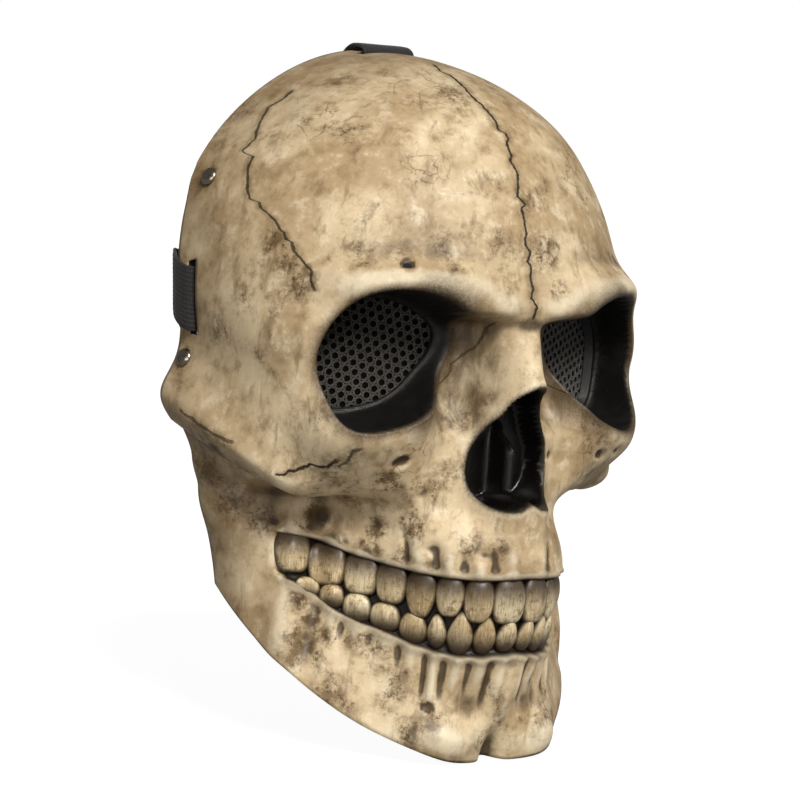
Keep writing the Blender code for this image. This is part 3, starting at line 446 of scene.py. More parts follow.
def skull_face(up, along, inset=0.0):
    """The finished surface, and the maps that its paint follows."""
    plain = plain_shell(up, along)
    out = plain_normals(up, along)
    x, y, z = plain[..., 0], plain[..., 1], plain[..., 2]
    side = np.abs(along)
    socket = socket_distance(x, z) - inset
    nose = nose_distance(x, z) - inset
    relief = main_relief(x, y, z, side)
    maps = {"socket": socket / MM, "nose": nose / MM}
    upper_gum, _, _, lower_gum = mouth_lines(side)
    if inset == 0.0:
        relief += root_relief(z, side)
        maps["mouth"] = mouth_band(z, side) * smooth((0.755 - side) / 0.04)
        maps["border"] = np.maximum(smooth((side - 0.62) / 0.42), smooth((up - 0.74) / 0.30))
        maps["gum"] = np.maximum(z - upper_gum, lower_gum - z) / MM + PAST_PAINT * smooth((side - 0.730) / 0.05)
        for (hx, hy, hz), radius, depth in NERVE_HOLES:
            apart = np.linalg.norm(plain - np.array([hx, hy, hz]) * MM, axis=-1) / MM
            flat = np.hypot(x / MM - hx, z / MM - hz)
            relief -= depth * MM * np.exp(-(flat / radius) ** 4) * (apart < 25.0)
        for px, py, pz, radius in PITS:
            flat = np.hypot(x / MM - px, z / MM - pz)
            relief -= 1.3 * MM * np.exp(-(flat / radius) ** 2) * (np.sign(px) == np.sign(x))
    else:
        # The inner wall stays behind the sunk band and the furrows of the roots
        roots = np.maximum(bell(z - upper_gum, 9.0 * MM), bell(z - lower_gum, 9.0 * MM))
        relief -= 0.8 * MOUTH_RECESS * mouth_band(z, side)
        relief -= 1.6 * MM * roots * smooth((0.84 - side) / 0.06)
    turn = np.arctan2(z - SOCKET_Z, np.abs(x) - SOCKET_X)
    lip = 2.2 * MM * (1.0 + 0.5 * np.sin(turn)) * bell(socket - 1.5 * MM, 6.0 * MM)
    relief += lip * smooth((np.abs(x) / WIDTH - 0.22) / 0.12)
    relief += 1.1 * MM * bell(nose - MM, 2.5 * MM)
    maps["relief"] = relief.copy()
    point = plain + out * (relief - inset)[..., None]
    flank = flank_drop(x, z, inset)
    point[..., 1] += flank
    maps["flank"] = flank / MM * smooth((z + 0.042) / 0.020)
    medial = smooth((SOCKET_X - np.abs(x)) / (9.0 * MM) + 0.2)
    maps["socket"] = np.where(socket > 0.0, socket / (1.0 + 2.6 * medial), socket) / MM
    before = point[..., 1].copy()
    drop = smooth(0.05 - socket / CAVITY_EDGE)
    lean = (np.abs(point[..., 0]) - SOCKET_X) * math.tan(SOCKET_YAW)
    floor_y = SOCKET_FLOOR + lean + inset / math.cos(SOCKET_YAW)
    point[..., 1] += drop * np.maximum(floor_y - point[..., 1], 0.0)
    nose_drop = smooth(0.02 - nose / CAVITY_EDGE)
    nose_floor = NOSE_FLOOR + inset
    if inset == 0.0:
        septum = bell(x, SEPTUM_HALF) * smooth(-(0.095 + z / HEIGHT) / 0.045)
        nose_floor = nose_floor - SEPTUM_RISE * septum
    point[..., 1] += nose_drop * np.maximum(nose_floor - point[..., 1], 0.0)
    maps["drop"] = (point[..., 1] - before) / MM
    maps["stain_and_shadow"] = gathered(point, STAINS_AND_SHADOWS)
    maps["crazing"] = gathered(point, [(*place, 1.0) for place in CRAZING])
    return point, maps


def grid_lines(count, low, high, dense_low, dense_high, density, fixed):
    """Line places from low to high, closer together in one part, with some exactly at fixed places."""
    fine = np.linspace(low, high, 4000)
    dense = smooth((fine - dense_low) / 0.04 + 0.5) * smooth((dense_high - fine) / 0.04 + 0.5)
    weight = 1.0 + (density - 1.0) * dense
    run = np.concatenate([[0.0], np.cumsum(weight[1:])])
    lines = np.interp(np.linspace(0.0, run[-1], count), run, fine)
    for value in fixed:
        lines[np.argmin(np.abs(lines - value))] = value
    return lines


def socket_along(up, along):
    """Distance outside the socket's outline, at places on the plain shell."""
    plain = plain_shell(up, along)
    return socket_distance(plain[..., 0], plain[..., 2])


def nose_along(up, along):
    """Distance outside the nose opening's outline, at places on the plain shell."""
    plain = plain_shell(up, along)
    return nose_distance(plain[..., 0], plain[..., 2])


def move_to_level(distance, level, up, along, chosen):
    """Moves the chosen grid points onto the line at one distance from an outline."""
    step = 0.0005
    for _ in range(5):
        margin = distance(up, along) - level
        slope_up = (distance(up + step, along) - distance(up - step, along)) / (2 * step)
        slope_along = (distance(up, along + step) - distance(up, along - step)) / (2 * step)
        scale = margin / (slope_up ** 2 + slope_along ** 2)
        up = np.where(chosen, up - scale * slope_up, up)
        along = np.where(chosen, along - scale * slope_along, along)
    return up, along


SIDE_SLOT_ALONG = 0.9395
SIDE_SLOT_HALF = 0.0022 / (0.5 * math.pi * DEPTH)
SIDE_SLOT_ROWS = (0.480, 0.640)
TOP_SLOT_UP = 0.9701
TOP_SLOT_HALF = 0.0022 / (1.2 * HEIGHT)
TOP_SLOT_ALONG = 0.149
OUTER_COUNT = (284, 286)
INNER_COUNT = (120, 116)


def shell_layer(mesh, count, inset):
    """Adds one side of the shell as a grid with its holes open; gives its new points and their maps."""
    slot_sides = (SIDE_SLOT_ALONG - SIDE_SLOT_HALF, SIDE_SLOT_ALONG + SIDE_SLOT_HALF)
    slot_columns = [sign * place for sign in (-1, 1) for place in slot_sides]
    rows = grid_lines(count[0], 0.0, 1.0, 0.12, 0.52, 1.8,
                      [*SIDE_SLOT_ROWS, TOP_SLOT_UP - TOP_SLOT_HALF, TOP_SLOT_UP + TOP_SLOT_HALF])
    columns = grid_lines(count[1], -1.0, 1.0, -0.72, 0.72, 1.7,
                         [*slot_columns, -TOP_SLOT_ALONG, TOP_SLOT_ALONG])
    up, along = np.meshgrid(rows, columns, indexing="ij")
    if inset == 0.0:
        levels = [-share * CAVITY_EDGE for share in (0.0, 0.5, 1.0)]
        for distance, level in [(edge, level) for edge in (socket_along, nose_along) for level in levels]:
            margin = distance(up, along) - level
            crossing = np.zeros(margin.shape, bool)
            for low, high in (((slice(None, -1), slice(None)), (slice(1, None), slice(None))),
                              ((slice(None), slice(None, -1)), (slice(None), slice(1, None)))):
                split = margin[low] * margin[high] < 0.0
                nearer = np.abs(margin[low]) < np.abs(margin[high])
                crossing[low] |= split & nearer
                crossing[high] |= split & ~nearer
            up, along = move_to_level(distance, level, up, along, crossing)
    inside = socket_along(up, along) < -SOCKET_RING
    hole = inside[:-1, :-1] & inside[1:, :-1] & inside[:-1, 1:] & inside[1:, 1:]
    up, along = move_to_level(socket_along, -SOCKET_RING, up, along, inside)
    middle_up = (rows[1:] + rows[:-1])[:, None] / 2.0
    middle_along = (columns[1:] + columns[:-1])[None, :] / 2.0
    in_rows = (middle_up > SIDE_SLOT_ROWS[0]) & (middle_up < SIDE_SLOT_ROWS[1])
    hole |= in_rows & (np.abs(np.abs(middle_along) - SIDE_SLOT_ALONG) < SIDE_SLOT_HALF)
    hole |= (np.abs(middle_up - TOP_SLOT_UP) < TOP_SLOT_HALF) & (np.abs(middle_along) < TOP_SLOT_ALONG)
    made = bmesh.ops.create_grid(mesh, x_segments=count[1] - 1, y_segments=count[0] - 1, size=1.0)["verts"]
    column = np.rint([(v.co.x + 1.0) / 2.0 * (count[1] - 1) for v in made]).astype(int)
    row = np.rint([(v.co.y + 1.0) / 2.0 * (count[0] - 1) for v in made]).astype(int)
    point, maps = skull_face(up, along, inset)
    places = {}
    for vert, r, c in zip(made, row, column):
        vert.co = point[r, c]
        places[vert] = (r, c)
    unwanted = []
    for one in {f for v in made for f in v.link_faces}:
        r = min(places[v][0] for v in one.verts)
        c = min(places[v][1] for v in one.verts)
        if hole[r, c]:
            unwanted.append(one)
    bmesh.ops.delete(mesh, geom=unwanted, context="FACES")
    return {v: place for v, place in places.items() if v.is_valid}, maps


def open_loops(verts):
    """Groups the open edges between some points into loops, each with its middle."""
    edges = {e for v in verts for e in v.link_edges if len(e.link_faces) == 1}
    loops = []
    while edges:
        loop = [edges.pop()]
        waiting = list(loop)
        while waiting:
            for v in waiting.pop().verts:
                for e in v.link_edges:
                    if e in edges:
                        edges.remove(e)
                        loop.append(e)
                        waiting.append(e)
        middle = sum(((e.verts[0].co + e.verts[1].co) / 2.0 for e in loop), Vector()) / len(loop)
        loops.append((loop, middle))
    return loops


def blurred(values, times):
    """Averages a map of the grid with its neighbours again and again."""
    for _ in range(times):
        values = np.pad(values, 1, mode="edge")
        values = (values[:-2, 1:-1] + values[2:, 1:-1] + values[1:-1, :-2] + values[1:-1, 2:]
                  + 2.0 * values[1:-1, 1:-1]) / 6.0
    return values


shell = bmesh.new()
MAP_NAMES = ("socket", "nose", "drop", "mouth", "gum", "flank", "border", "stain_and_shadow", "crazing",
             "hollow", "broad_hollow_shade", "raised")
layers = {name: shell.verts.layers.float.new(name) for name in MAP_NAMES}
outer_places, maps = shell_layer(shell, OUTER_COUNT, 0.0)
inner_places, _ = shell_layer(shell, INNER_COUNT, WALL)
inner_faces = {f for v in inner_places for f in v.link_faces}
outer_loops = open_loops(outer_places)
inner_loops = open_loops(inner_places)
edge_faces = []
for loop, middle in outer_loops:
    partner = min(inner_loops, key=lambda other: (other[1] - middle).length)
    wall = bmesh.ops.bridge_loops(shell, edges=loop + partner[0])["faces"]
    edge_faces += wall
    if len(loop) < 400:
        inner_faces.update(wall)
bmesh.ops.recalc_face_normals(shell, faces=shell.faces)
for one in shell.faces:
    one.smooth = True
    one.material_index = 0
for one in inner_faces:
    one.material_index = 1
for one in edge_faces:
    one.smooth = False

# Paint maps: fine hollows gather the brown wash, broad hollows get painted shade, and raised places keep the
# dry-brushed cream
height = maps.pop("relief") / MM
fine = height - blurred(height, 14)
broad = height - blurred(height, 160)
maps["hollow"] = np.clip(-fine / 0.45, 0.0, 1.5)
maps["broad_hollow_shade"] = np.clip(-broad / 1.6, 0.0, 1.5)
maps["raised"] = np.clip(fine / 0.55, 0.0, 1.0)
for vert, (r, c) in outer_places.items():
    for name, layer in layers.items():
        vert[layer] = maps[name][r, c]
for vert in inner_places:
    for name in ("socket", "nose", "gum"):
        vert[layers[name]] = PAST_PAINT
skull = object_of(shell, "skull_shell")

# Painted bone on satin ABS: cream base coat, thin brown washes that settle in the hollows, painted shade in the
# broad hollows and down the flanks of the nose, sponged speckle over the stained places and over a painted
# shadow under the cheekbone arches, dry-brushed cream on raised edges, airbrushed black cavities
bone, tree, output = new_material("hand_painted_bone_on_abs")
spot = add_node(tree, "TexCoord").outputs["Object"]


def map_of(name):
    return add_node(tree, "Attribute", attribute_name=name).outputs["Fac"]


def step_of(value, low, high, to_low=0.0, to_high=1.0):
    """A soft step from one value to another."""
    return add_node(tree, "MapRange", {"Value": value, "From Min": low, "From Max": high,
                                       "To Min": to_low, "To Max": to_high},
                    interpolation_type="SMOOTHSTEP").outputs["Result"]


def sum_of(kind, first, second):
    return add_node(tree, "Math", {0: first, 1: second}, operation=kind).outputs[0]


def grain(size_mm, detail, rough, distortion=0.0):
    """Cloudy noise whose largest lumps are about one size in millimetres."""
    return add_node(tree, "TexNoise", {"Vector": spot, "Scale": 1000.0 / size_mm, "Detail": detail,
                                       "Roughness": rough, "Distortion": distortion}).outputs["Fac"]


def over(lower, colour, amount):
    """Lays a colour over another by an amount."""
    return add_node(tree, "Mix", {0: amount, 6: lower, 7: colour}, data_type="RGBA").outputs[2]


def line_along(points, run, off):
    """Offset from a jagged line and its two ends, in metres; points hold run and offset in mm."""
    table = sorted(points)
    low, high = table[0][0], table[-1][0]
    least = min(value for _, value in table)
    most = max(value for _, value in table)
    place = add_node(tree, "MapRange", {"Value": run, "From Min": low * MM, "From Max": high * MM}).outputs[0]
    line = add_node(tree, "FloatCurve", {"Value": place})
    knots = line.mapping.curves[0].points
    while len(knots) < len(table):
        knots.new(0.5, 0.5)
    for knot, (at, value) in zip(knots, table):
        knot.location = ((at - low) / (high - low), (value - least) / (most - least))
        knot.handle_type = "VECTOR"
    line.mapping.update()
    centre = add_node(tree, "MapRange", {"Value": line.outputs[0], "To Min": least * MM,
                                         "To Max": most * MM}).outputs[0]
    return sum_of("SUBTRACT", off, centre), low * MM, high * MM


tone = grain(34.0, 4.0, 0.55)
mottle = grain(9.0, 8.0, 0.68)
patches = grain(30.0, 5.0, 0.62, 0.6)
speckle = grain(2.0, 6.0, 0.78)
coarse_speckle = grain(5.0, 6.0, 0.72)
pores = grain(0.9, 3.0, 0.7)
streaked = add_node(tree, "Mapping", {"Vector": spot, "Scale": (1.0, 1.0, 0.35)}).outputs["Vector"]
streaks = add_node(tree, "TexNoise", {"Vector": streaked, "Scale": 150.0, "Detail": 6.0, "Roughness": 0.66,
                                      "Distortion": 0.4}).outputs["Fac"]
colour = over(linear("#B39B77"), linear("#D9C5A2"), step_of(tone, 0.38, 0.60))
colour = over(colour, linear("#8C7452"), step_of(mottle, 0.50, 0.70, 0.0, 0.75))
colour = over(colour, linear("#EDDFC2"), step_of(mottle, 0.50, 0.32, 0.0, 0.6))
colour = over(colour, linear("#7C6545"), step_of(streaks, 0.52, 0.70, 0.0, 0.65))
# Sponged stains with a painted shadow under the cheekbone arches: broad brown wash, then speckle, thickest
# where the stains and the shadow gather
gathers = sum_of("MULTIPLY", map_of("stain_and_shadow"), step_of(mottle, 0.22, 0.62, 0.45, 1.25))
stains_and_shadow = sum_of("ADD", step_of(patches, 0.50, 0.68, 0.0, 0.55), gathers)
wash = sum_of("MULTIPLY", stains_and_shadow, step_of(coarse_speckle, 0.36, 0.60, 0.35, 1.0))
colour = over(colour, linear("#6C5535"), step_of(wash, 0.10, 0.85, 0.0, 0.88))
fleck = sum_of("MULTIPLY", step_of(stains_and_shadow, 0.12, 0.7), step_of(speckle, 0.50, 0.60))
colour = over(colour, linear("#45331D"), sum_of("MULTIPLY", fleck, 0.85))
colour = over(colour, linear("#3A2C1A"), step_of(gathers, 0.72, 1.25, 0.0, 0.85))
pore = sum_of("MULTIPLY", step_of(pores, 0.64, 0.72), 0.5)
colour = over(colour, linear("#6B573A"), pore)
# Darker brown towards the rim and the crown; down the flanks of the nose airbrushed brown that is also painted
# shade
border = sum_of("MULTIPLY", map_of("border"), step_of(patches, 0.30, 0.62, 0.45, 1.0))
colour = over(colour, linear("#6A5334"), sum_of("MULTIPLY", border, 0.72))
# Nose flanks: brown wash together with painted shade, darker the further the flank falls back
sides = sum_of("MULTIPLY", step_of(map_of("flank"), 1.5, 13.0), step_of(streaks, 0.36, 0.60, 0.45, 1.0))
colour = over(colour, linear("#503D24"), sum_of("MULTIPLY", sides, 0.85))
# Painted shade in the broad hollows, washes in the fine hollows and cream on the raised edges
broad_hollow_shade = sum_of("MULTIPLY", map_of("broad_hollow_shade"), step_of(mottle, 0.25, 0.60, 0.5, 1.0))
colour = over(colour, linear("#715C3B"), step_of(broad_hollow_shade, 0.20, 1.4, 0.0, 0.60))
hollow = sum_of("MULTIPLY", map_of("hollow"), step_of(coarse_speckle, 0.30, 0.60, 0.7, 1.0))
colour = over(colour, linear("#3B2D1A"), step_of(hollow, 0.30, 1.25, 0.0, 0.88))
raised = sum_of("MULTIPLY", map_of("raised"), step_of(coarse_speckle, 0.70, 0.35, 0.6, 1.0))
colour = over(colour, linear("#EFE4CA"), step_of(raised, 0.12, 1.0, 0.0, 0.62))
# Gums: black wash along the teeth that fades over the roots
gum = sum_of("ADD", map_of("gum"), sum_of("MULTIPLY", sum_of("SUBTRACT", coarse_speckle, 0.5), 9.0))
colour = over(colour, linear("#4A3A23"), step_of(gum, 6.0, 0.5, 0.0, 0.55))
colour = over(colour, linear("#1D150C"), step_of(map_of("gum"), 1.1, -0.1))
in_mouth = step_of(map_of("mouth"), 0.35, 0.75)
colour = over(colour, linear("#1A120A"), in_mouth)
# Sutures and cracks as measured: jagged dark lines with a stained halo
axes = add_node(tree, "SeparateXYZ", {0: spot})
px, py, pz = axes.outputs[0], axes.outputs[1], axes.outputs[2]
wide = sum_of("ABSOLUTE", px, 0.0)
wiggle = sum_of("MULTIPLY", sum_of("SUBTRACT", grain(3.0, 4.0, 0.65), 0.5), 2.6 * MM)
MIDDLE_SEAM = [
    (105.8, 0.3), (103.2, -3.7), (102.3, -1.6), (100.2, -1.9), (97.7, -2.7), (94.5, -3.8),
    (91.8, -2.2), (89.0, -1.5), (85.9, -0.6), (82.7, -1.3), (81.7, 1.4), (79.9, 1.8),
    (78.0, -0.2), (75.5, -0.6), (74.0, 0.1), (72.2, -1.6), (69.7, -0.9), (67.2, 0.0),
    (63.3, -1.3), (58.8, -2.7), (56.0, 0.3), (54.6, -1.9), (49.9, -1.9), (45.1, -1.8),
    (41.2, -2.8), (38.6, -0.6), (35.2, -2.3), (33.1, -0.6), (29.5, -1.4), (25.1, -0.2),
    (21.9, -1.3), (18.7, 1.5), (14.0, 1.2),
]
TEMPLE_SEAM = [
    (91.7, 86.3), (88.9, 85.2), (84.6, 88.0), (80.3, 85.3), (75.7, 82.8), (72.7, 80.1),
    (67.9, 82.5), (66.9, 80.1), (66.2, 75.6), (62.6, 74.8), (56.4, 71.6), (54.1, 70.4),
    (50.3, 67.1), (49.7, 62.9), (47.4, 60.6), (45.5, 56.2), (42.9, 52.2), (40.5, 50.0),
    (39.6, 48.1), (37.1, 46.3), (36.4, 43.9), (33.1, 41.7), (30.2, 37.2), (26.7, 31.2),
    (23.1, 30.3), (19.9, 28.3),
]
CHEEK_CRACK = [
    (38.0, -49.1), (35.7, -48.8), (34.4, -47.2), (33.1, -47.3), (31.8, -46.1), (28.0, -43.8),
    (25.7, -44.5), (23.2, -44.2), (18.4, -41.0),
]
CHEEK_HOOK = [(19.9, -44.0), (15.7, -41.1), (12.3, -37.3), (10.4, -35.9)]
TEAR_CRACK = [
    (11.8, 12.3), (7.3, 13.1), (2.4, 14.7), (-2.1, 18.0), (-5.2, 21.1), (-8.9, 21.6),
    (-11.9, 24.6), (-14.3, 29.2), (-16.7, 33.9),
]
ARCH_GROOVE = [(78.4, -30.2), (71.7, -32.9), (64.1, -36.1), (58.1, -38.1), (53.2, -39.2)]
on_front = step_of(wide, 0.045, 0.040)
on_side = step_of(wide, 0.048, 0.052)
right_only = step_of(px, -0.050, -0.055)
on_midline = step_of(wide, 0.020, 0.016)
# points, the axis along the line, the axis across it, where it may show, half width in mm, darkness
CRACKS = (
    (MIDDLE_SEAM, pz, px, on_midline, 0.45, 1.0), (TEMPLE_SEAM, pz, py, on_side, 0.55, 0.85),
    (CHEEK_CRACK, py, pz, right_only, 0.42, 1.0), (CHEEK_HOOK, py, pz, right_only, 0.40, 0.8),
    (TEAR_CRACK, pz, wide, on_front, 0.40, 0.8), (ARCH_GROOVE, py, pz, on_side, 0.60, 0.7),
)
lines = None
for points, run, off, place, half, dark in CRACKS:
    apart, low, high = line_along(points, run, off)
    within = sum_of("MULTIPLY", step_of(run, low - 0.001, low + 0.0005),
                    step_of(run, high + 0.001, high - 0.0005))
    within = sum_of("MULTIPLY", within, place)
    apart = sum_of("ABSOLUTE", sum_of("ADD", apart, wiggle), 0.0)
    line = sum_of("MULTIPLY", step_of(apart, (half + 0.35) * MM, (half - 0.20) * MM, 0.0, dark), within)
    halo = sum_of("MULTIPLY", step_of(apart, 0.0042, 0.0008, 0.0, 0.60), within)
    colour = over(colour, linear("#66522F"), sum_of("MULTIPLY", halo, step_of(coarse_speckle, 0.38, 0.60)))
    colour = over(colour, linear("#2A2013"), line)
    lines = line if lines is None else sum_of("MAXIMUM", lines, line)
# Hairlines that craze the coat in a few places
bent = add_node(tree, "VectorMath", {0: spot, 1: add_node(tree, "VectorMath", {
    0: add_node(tree, "TexNoise", {"Vector": spot, "Scale": 220.0, "Detail": 3.0}).outputs["Color"],
    1: (0.006, 0.006, 0.006)}, operation="MULTIPLY").outputs[0]}, operation="ADD").outputs[0]
cells = add_node(tree, "TexVoronoi", {"Vector": bent, "Scale": 115.0}, feature="DISTANCE_TO_EDGE").outputs[0]
hairs = sum_of("MULTIPLY", step_of(cells, 0.030, 0.008), step_of(map_of("crazing"), 0.25, 0.6))
hairs = sum_of("MULTIPLY", hairs, step_of(mottle, 0.42, 0.52))
colour = over(colour, linear("#5C4A2C"), sum_of("MULTIPLY", hairs, 0.5))
lines = sum_of("MAXIMUM", lines, sum_of("MULTIPLY", hairs, 0.45))
# Airbrushed cavities, feathered with fine dots of overspray
ragged = sum_of("MULTIPLY", sum_of("SUBTRACT", grain(0.8, 5.0, 0.8), 0.5), 3.0)
socket = sum_of("ADD", map_of("socket"), ragged)
nose = sum_of("ADD", map_of("nose"), ragged)
colour = over(colour, linear("#4E3C23"), step_of(socket, 3.4, -0.4, 0.0, 0.92))
colour = over(colour, linear("#060504"), step_of(socket, 1.2, -1.3))
colour = over(colour, linear("#3E2F1B"), step_of(nose, 2.4, -0.2, 0.0, 0.95))
cavity = step_of(nose, 0.9, -0.8)
cavity = sum_of("MAXIMUM", cavity, step_of(map_of("drop"), 0.8, 3.0))
colour = over(colour, linear("#0A0807"), cavity)
# Fine surface: grain of the cast bone texture, pores and the cut of the cracks, in metres
bump_height = sum_of("MULTIPLY", coarse_speckle, 0.22 * MM)
bump_height = sum_of("ADD", bump_height, sum_of("MULTIPLY", speckle, 0.12 * MM))
bump_height = sum_of("SUBTRACT", bump_height, sum_of("MULTIPLY", step_of(pores, 0.62, 0.74), 0.10 * MM))
bump_height = sum_of("SUBTRACT", bump_height, sum_of("MULTIPLY", lines, 0.55 * MM))
relief_bump = add_node(tree, "Bump", {"Strength": 0.75, "Distance": 1.0, "Height": bump_height})
gloss = sum_of("MAXIMUM", step_of(mottle, 0.3, 0.7, 0.42, 0.60), step_of(socket, 0.5, -1.5, 0.0, 0.50))
gloss = add_node(tree, "Mix", {0: step_of(nose, 0.0, -1.5), 2: gloss, 3: 0.20}, data_type="FLOAT").outputs[0]
bone_skin = add_node(tree, "BsdfPrincipled", {"Base Color": colour, "Roughness": gloss, "IOR": 1.46,
                                              "Normal": relief_bump.outputs[0]})
tree.links.new(bone_skin.outputs[0], output.inputs["Surface"])

# Inside of the shell: the same ABS in black, as it left the mould, satin with a fine grain
moulded, tree, output = new_material("black_moulded_abs")
spot = add_node(tree, "TexCoord").outputs["Object"]
cloud = grain(18.0, 4.0, 0.6)
mould_grain = grain(1.1, 3.0, 0.6)
shade = over(linear("#17171A"), linear("#242427"), step_of(cloud, 0.40, 0.62))
mould_bump = add_node(tree, "Bump", {"Strength": 0.4, "Distance": 0.0003, "Height": mould_grain})
mould_skin = add_node(tree, "BsdfPrincipled", {"Base Color": shade, "IOR": 1.53,
                                               "Roughness": step_of(cloud, 0.35, 0.65, 0.42, 0.58),
                                               "Normal": mould_bump.outputs[0]})
tree.links.new(mould_skin.outputs[0], output.inputs["Surface"])
skull.data.materials.append(bone)
skull.data.materials.append(moulded)
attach(skull, "root")
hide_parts("mask_shell")


# Teeth: crowns moulded in relief on the shell, packed side by side in two rows.
# They are painted with it: cream enamel, a dark wash and painted shade down from the gums, and black paint with
# painted shade round each crown.
# near edge and far edge along the shell, gum height, tip height, width at the gum and at the tip, roundness
UPPER_TEETH = [
    (0.000, 0.092, -0.3105, -0.3775, 0.82, 0.94, 2.8), (0.092, 0.170, -0.3130, -0.3775, 0.80, 0.86, 2.6),
    (0.170, 0.243, -0.3135, -0.3720, 0.84, 0.78, 2.3), (0.243, 0.327, -0.3110, -0.3790, 0.86, 0.70, 2.2),
    (0.327, 0.422, -0.3065, -0.3640, 0.88, 0.90, 2.6), (0.422, 0.539, -0.3010, -0.3570, 0.90, 0.94, 2.8),
    (0.539, 0.661, -0.2910, -0.3480, 0.92, 0.94, 2.8), (0.661, 0.762, -0.2765, -0.3340, 0.92, 0.90, 2.6),
]
LOWER_TEETH = [
    (0.000, 0.068, -0.4170, -0.3660, 0.92, 0.62, 2.1), (0.068, 0.134, -0.4215, -0.3635, 0.92, 0.56, 2.0),
    (0.134, 0.207, -0.4245, -0.3590, 0.92, 0.50, 2.0), (0.207, 0.262, -0.4160, -0.3660, 0.92, 0.60, 2.1),
    (0.262, 0.345, -0.4125, -0.3680, 0.92, 0.78, 2.3), (0.345, 0.442, -0.3985, -0.3600, 0.94, 0.90, 2.6),
    (0.442, 0.539, -0.3900, -0.3510, 0.94, 0.92, 2.6), (0.539, 0.625, -0.3740, -0.3420, 0.94, 0.90, 2.6),
    (0.625, 0.700, -0.3610, -0.3350, 0.94, 0.88, 2.6),
]
TOOTH_RISE = 4.3 * MM
TOOTH_LAP = 1.15


def row_at(height, along):
    """The place up the plain shell where it reaches a height."""
    low, high = np.zeros_like(height), np.ones_like(height)
    for _ in range(30):
        middle = (low + high) / 2.0
        under = plain_shell(middle, along)[..., 2] < height
        low, high = np.where(under, middle, low), np.where(under, high, middle)
    return (low + high) / 2.0


crowns = bmesh.new()
crown_layers = {name: crowns.verts.layers.float.new(name) for name in ("rim", "down", "tint")}
for row, (teeth, lift) in enumerate(((UPPER_TEETH, 0.0), (LOWER_TEETH, -0.5 * MM))):
    for side in (-1.0, 1.0):
        for number, (near, far, gum, tip, gum_width, tip_width, power) in enumerate(teeth):
            made = bmesh.ops.create_uvsphere(crowns, u_segments=30, v_segments=20, radius=1.0)["verts"]
            ball = np.array([v.co for v in made])
            radius = np.hypot(ball[:, 0], ball[:, 2])
            turn = np.arctan2(ball[:, 2], ball[:, 0])
            power = power + (0.9 if row == 0 else 0.3)
            square = (np.abs(np.cos(turn)) ** power + np.abs(np.sin(turn)) ** power) ** (-1.0 / power)
            down = 0.5 - 0.5 * radius * square * np.sin(turn)
            wide = gum_width + (1.0 - gum_width) * smooth(down / 0.45)
            wide = wide - (1.0 - tip_width) * smooth((down - 0.35) / 0.65)
            across = radius * square * np.cos(turn) * wide * TOOTH_LAP
            along = side * ((near + far) / 2.0 + across * (far - near) / 2.0)
            height = (gum + (0.004 if row == 0 else -0.004) * (1.0 - down) + (tip - gum) * down) * HEIGHT
            up = row_at(height, along)
            plain = plain_shell(up, along)
            front = np.where(ball[:, 1] < 0.0, np.abs(ball[:, 1]) ** 0.72 * TOOTH_RISE, -0.6 * MM)
            cusps = 0.25 * MM * np.cos(across * (6.0 if number > 3 else 3.0)) * np.abs(ball[:, 1])
            front = front + cusps + lift + 0.6 * MM * (down - 0.5)
            relief = main_relief(plain[:, 0], plain[:, 1], plain[:, 2], np.abs(along)) - MOUTH_RECESS
            place = plain + plain_normals(up, along) * (relief + front)[:, None]
            for vert, at, edge, share in zip(made, place, radius, down):
                vert.co = at
                vert[crown_layers["rim"]] = edge
                vert[crown_layers["down"]] = share
                vert[crown_layers["tint"]] = ((number * 7 + row * 3 + (side > 0) * 5) % 11) / 10.0
bmesh.ops.recalc_face_normals(crowns, faces=crowns.faces)
for one in crowns.faces:
    one.smooth = True
tooth_crowns = object_of(crowns, "tooth_crowns")
# Painted enamel on ABS: fine upright brush scratches, a dark wash with painted shade at the gums, black paint
# with painted shade round the crowns, satin
enamel, tree, output = new_material("painted_enamel_on_abs")
spot = add_node(tree, "TexCoord").outputs["Object"]
upright = add_node(tree, "Mapping", {"Vector": spot, "Scale": (1.0, 1.0, 0.09)}).outputs["Vector"]
scratch = add_node(tree, "TexNoise", {"Vector": upright, "Scale": 1300.0, "Detail": 4.0,
                                      "Roughness": 0.7}).outputs["Fac"]
blot = grain(3.2, 5.0, 0.7)
colour = over(linear("#DDCDAA"), linear("#B39C74"), map_of("tint"))
colour = over(colour, linear("#8A754E"), step_of(scratch, 0.50, 0.66, 0.0, 0.75))
colour = over(colour, linear("#F2E6CA"), step_of(scratch, 0.46, 0.34, 0.0, 0.55))
colour = over(colour, linear("#6E5936"), step_of(blot, 0.48, 0.66, 0.0, 0.8))
# Darker towards the gum: a dark wash that also paints the shade under the gums
gum_wash_and_shade = sum_of("ADD", map_of("down"), sum_of("MULTIPLY", sum_of("SUBTRACT", blot, 0.5), 0.5))
colour = over(colour, linear("#33261A"), step_of(gum_wash_and_shade, 0.72, 0.16, 0.0, 0.95))
# Darker round each crown's outline: black paint in the gaps and painted shade at the crown's edge
colour = over(colour, linear("#3A2C19"), step_of(map_of("rim"), 0.74, 0.92, 0.0, 0.85))
colour = over(colour, linear("#150F08"), step_of(map_of("rim"), 0.88, 0.975))
tooth_height = sum_of("MULTIPLY", scratch, 0.10 * MM)
tooth_bump = add_node(tree, "Bump", {"Strength": 0.6, "Distance": 1.0, "Height": tooth_height})
enamel_skin = add_node(tree, "BsdfPrincipled", {"Base Color": colour, "IOR": 1.48,
                                                "Roughness": step_of(blot, 0.3, 0.7, 0.34, 0.50),
                                                "Normal": tooth_bump.outputs[0]})
tree.links.new(enamel_skin.outputs[0], output.inputs["Surface"])
tooth_crowns.data.materials.append(enamel)
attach(tooth_crowns, "root")
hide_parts("mask_shell")


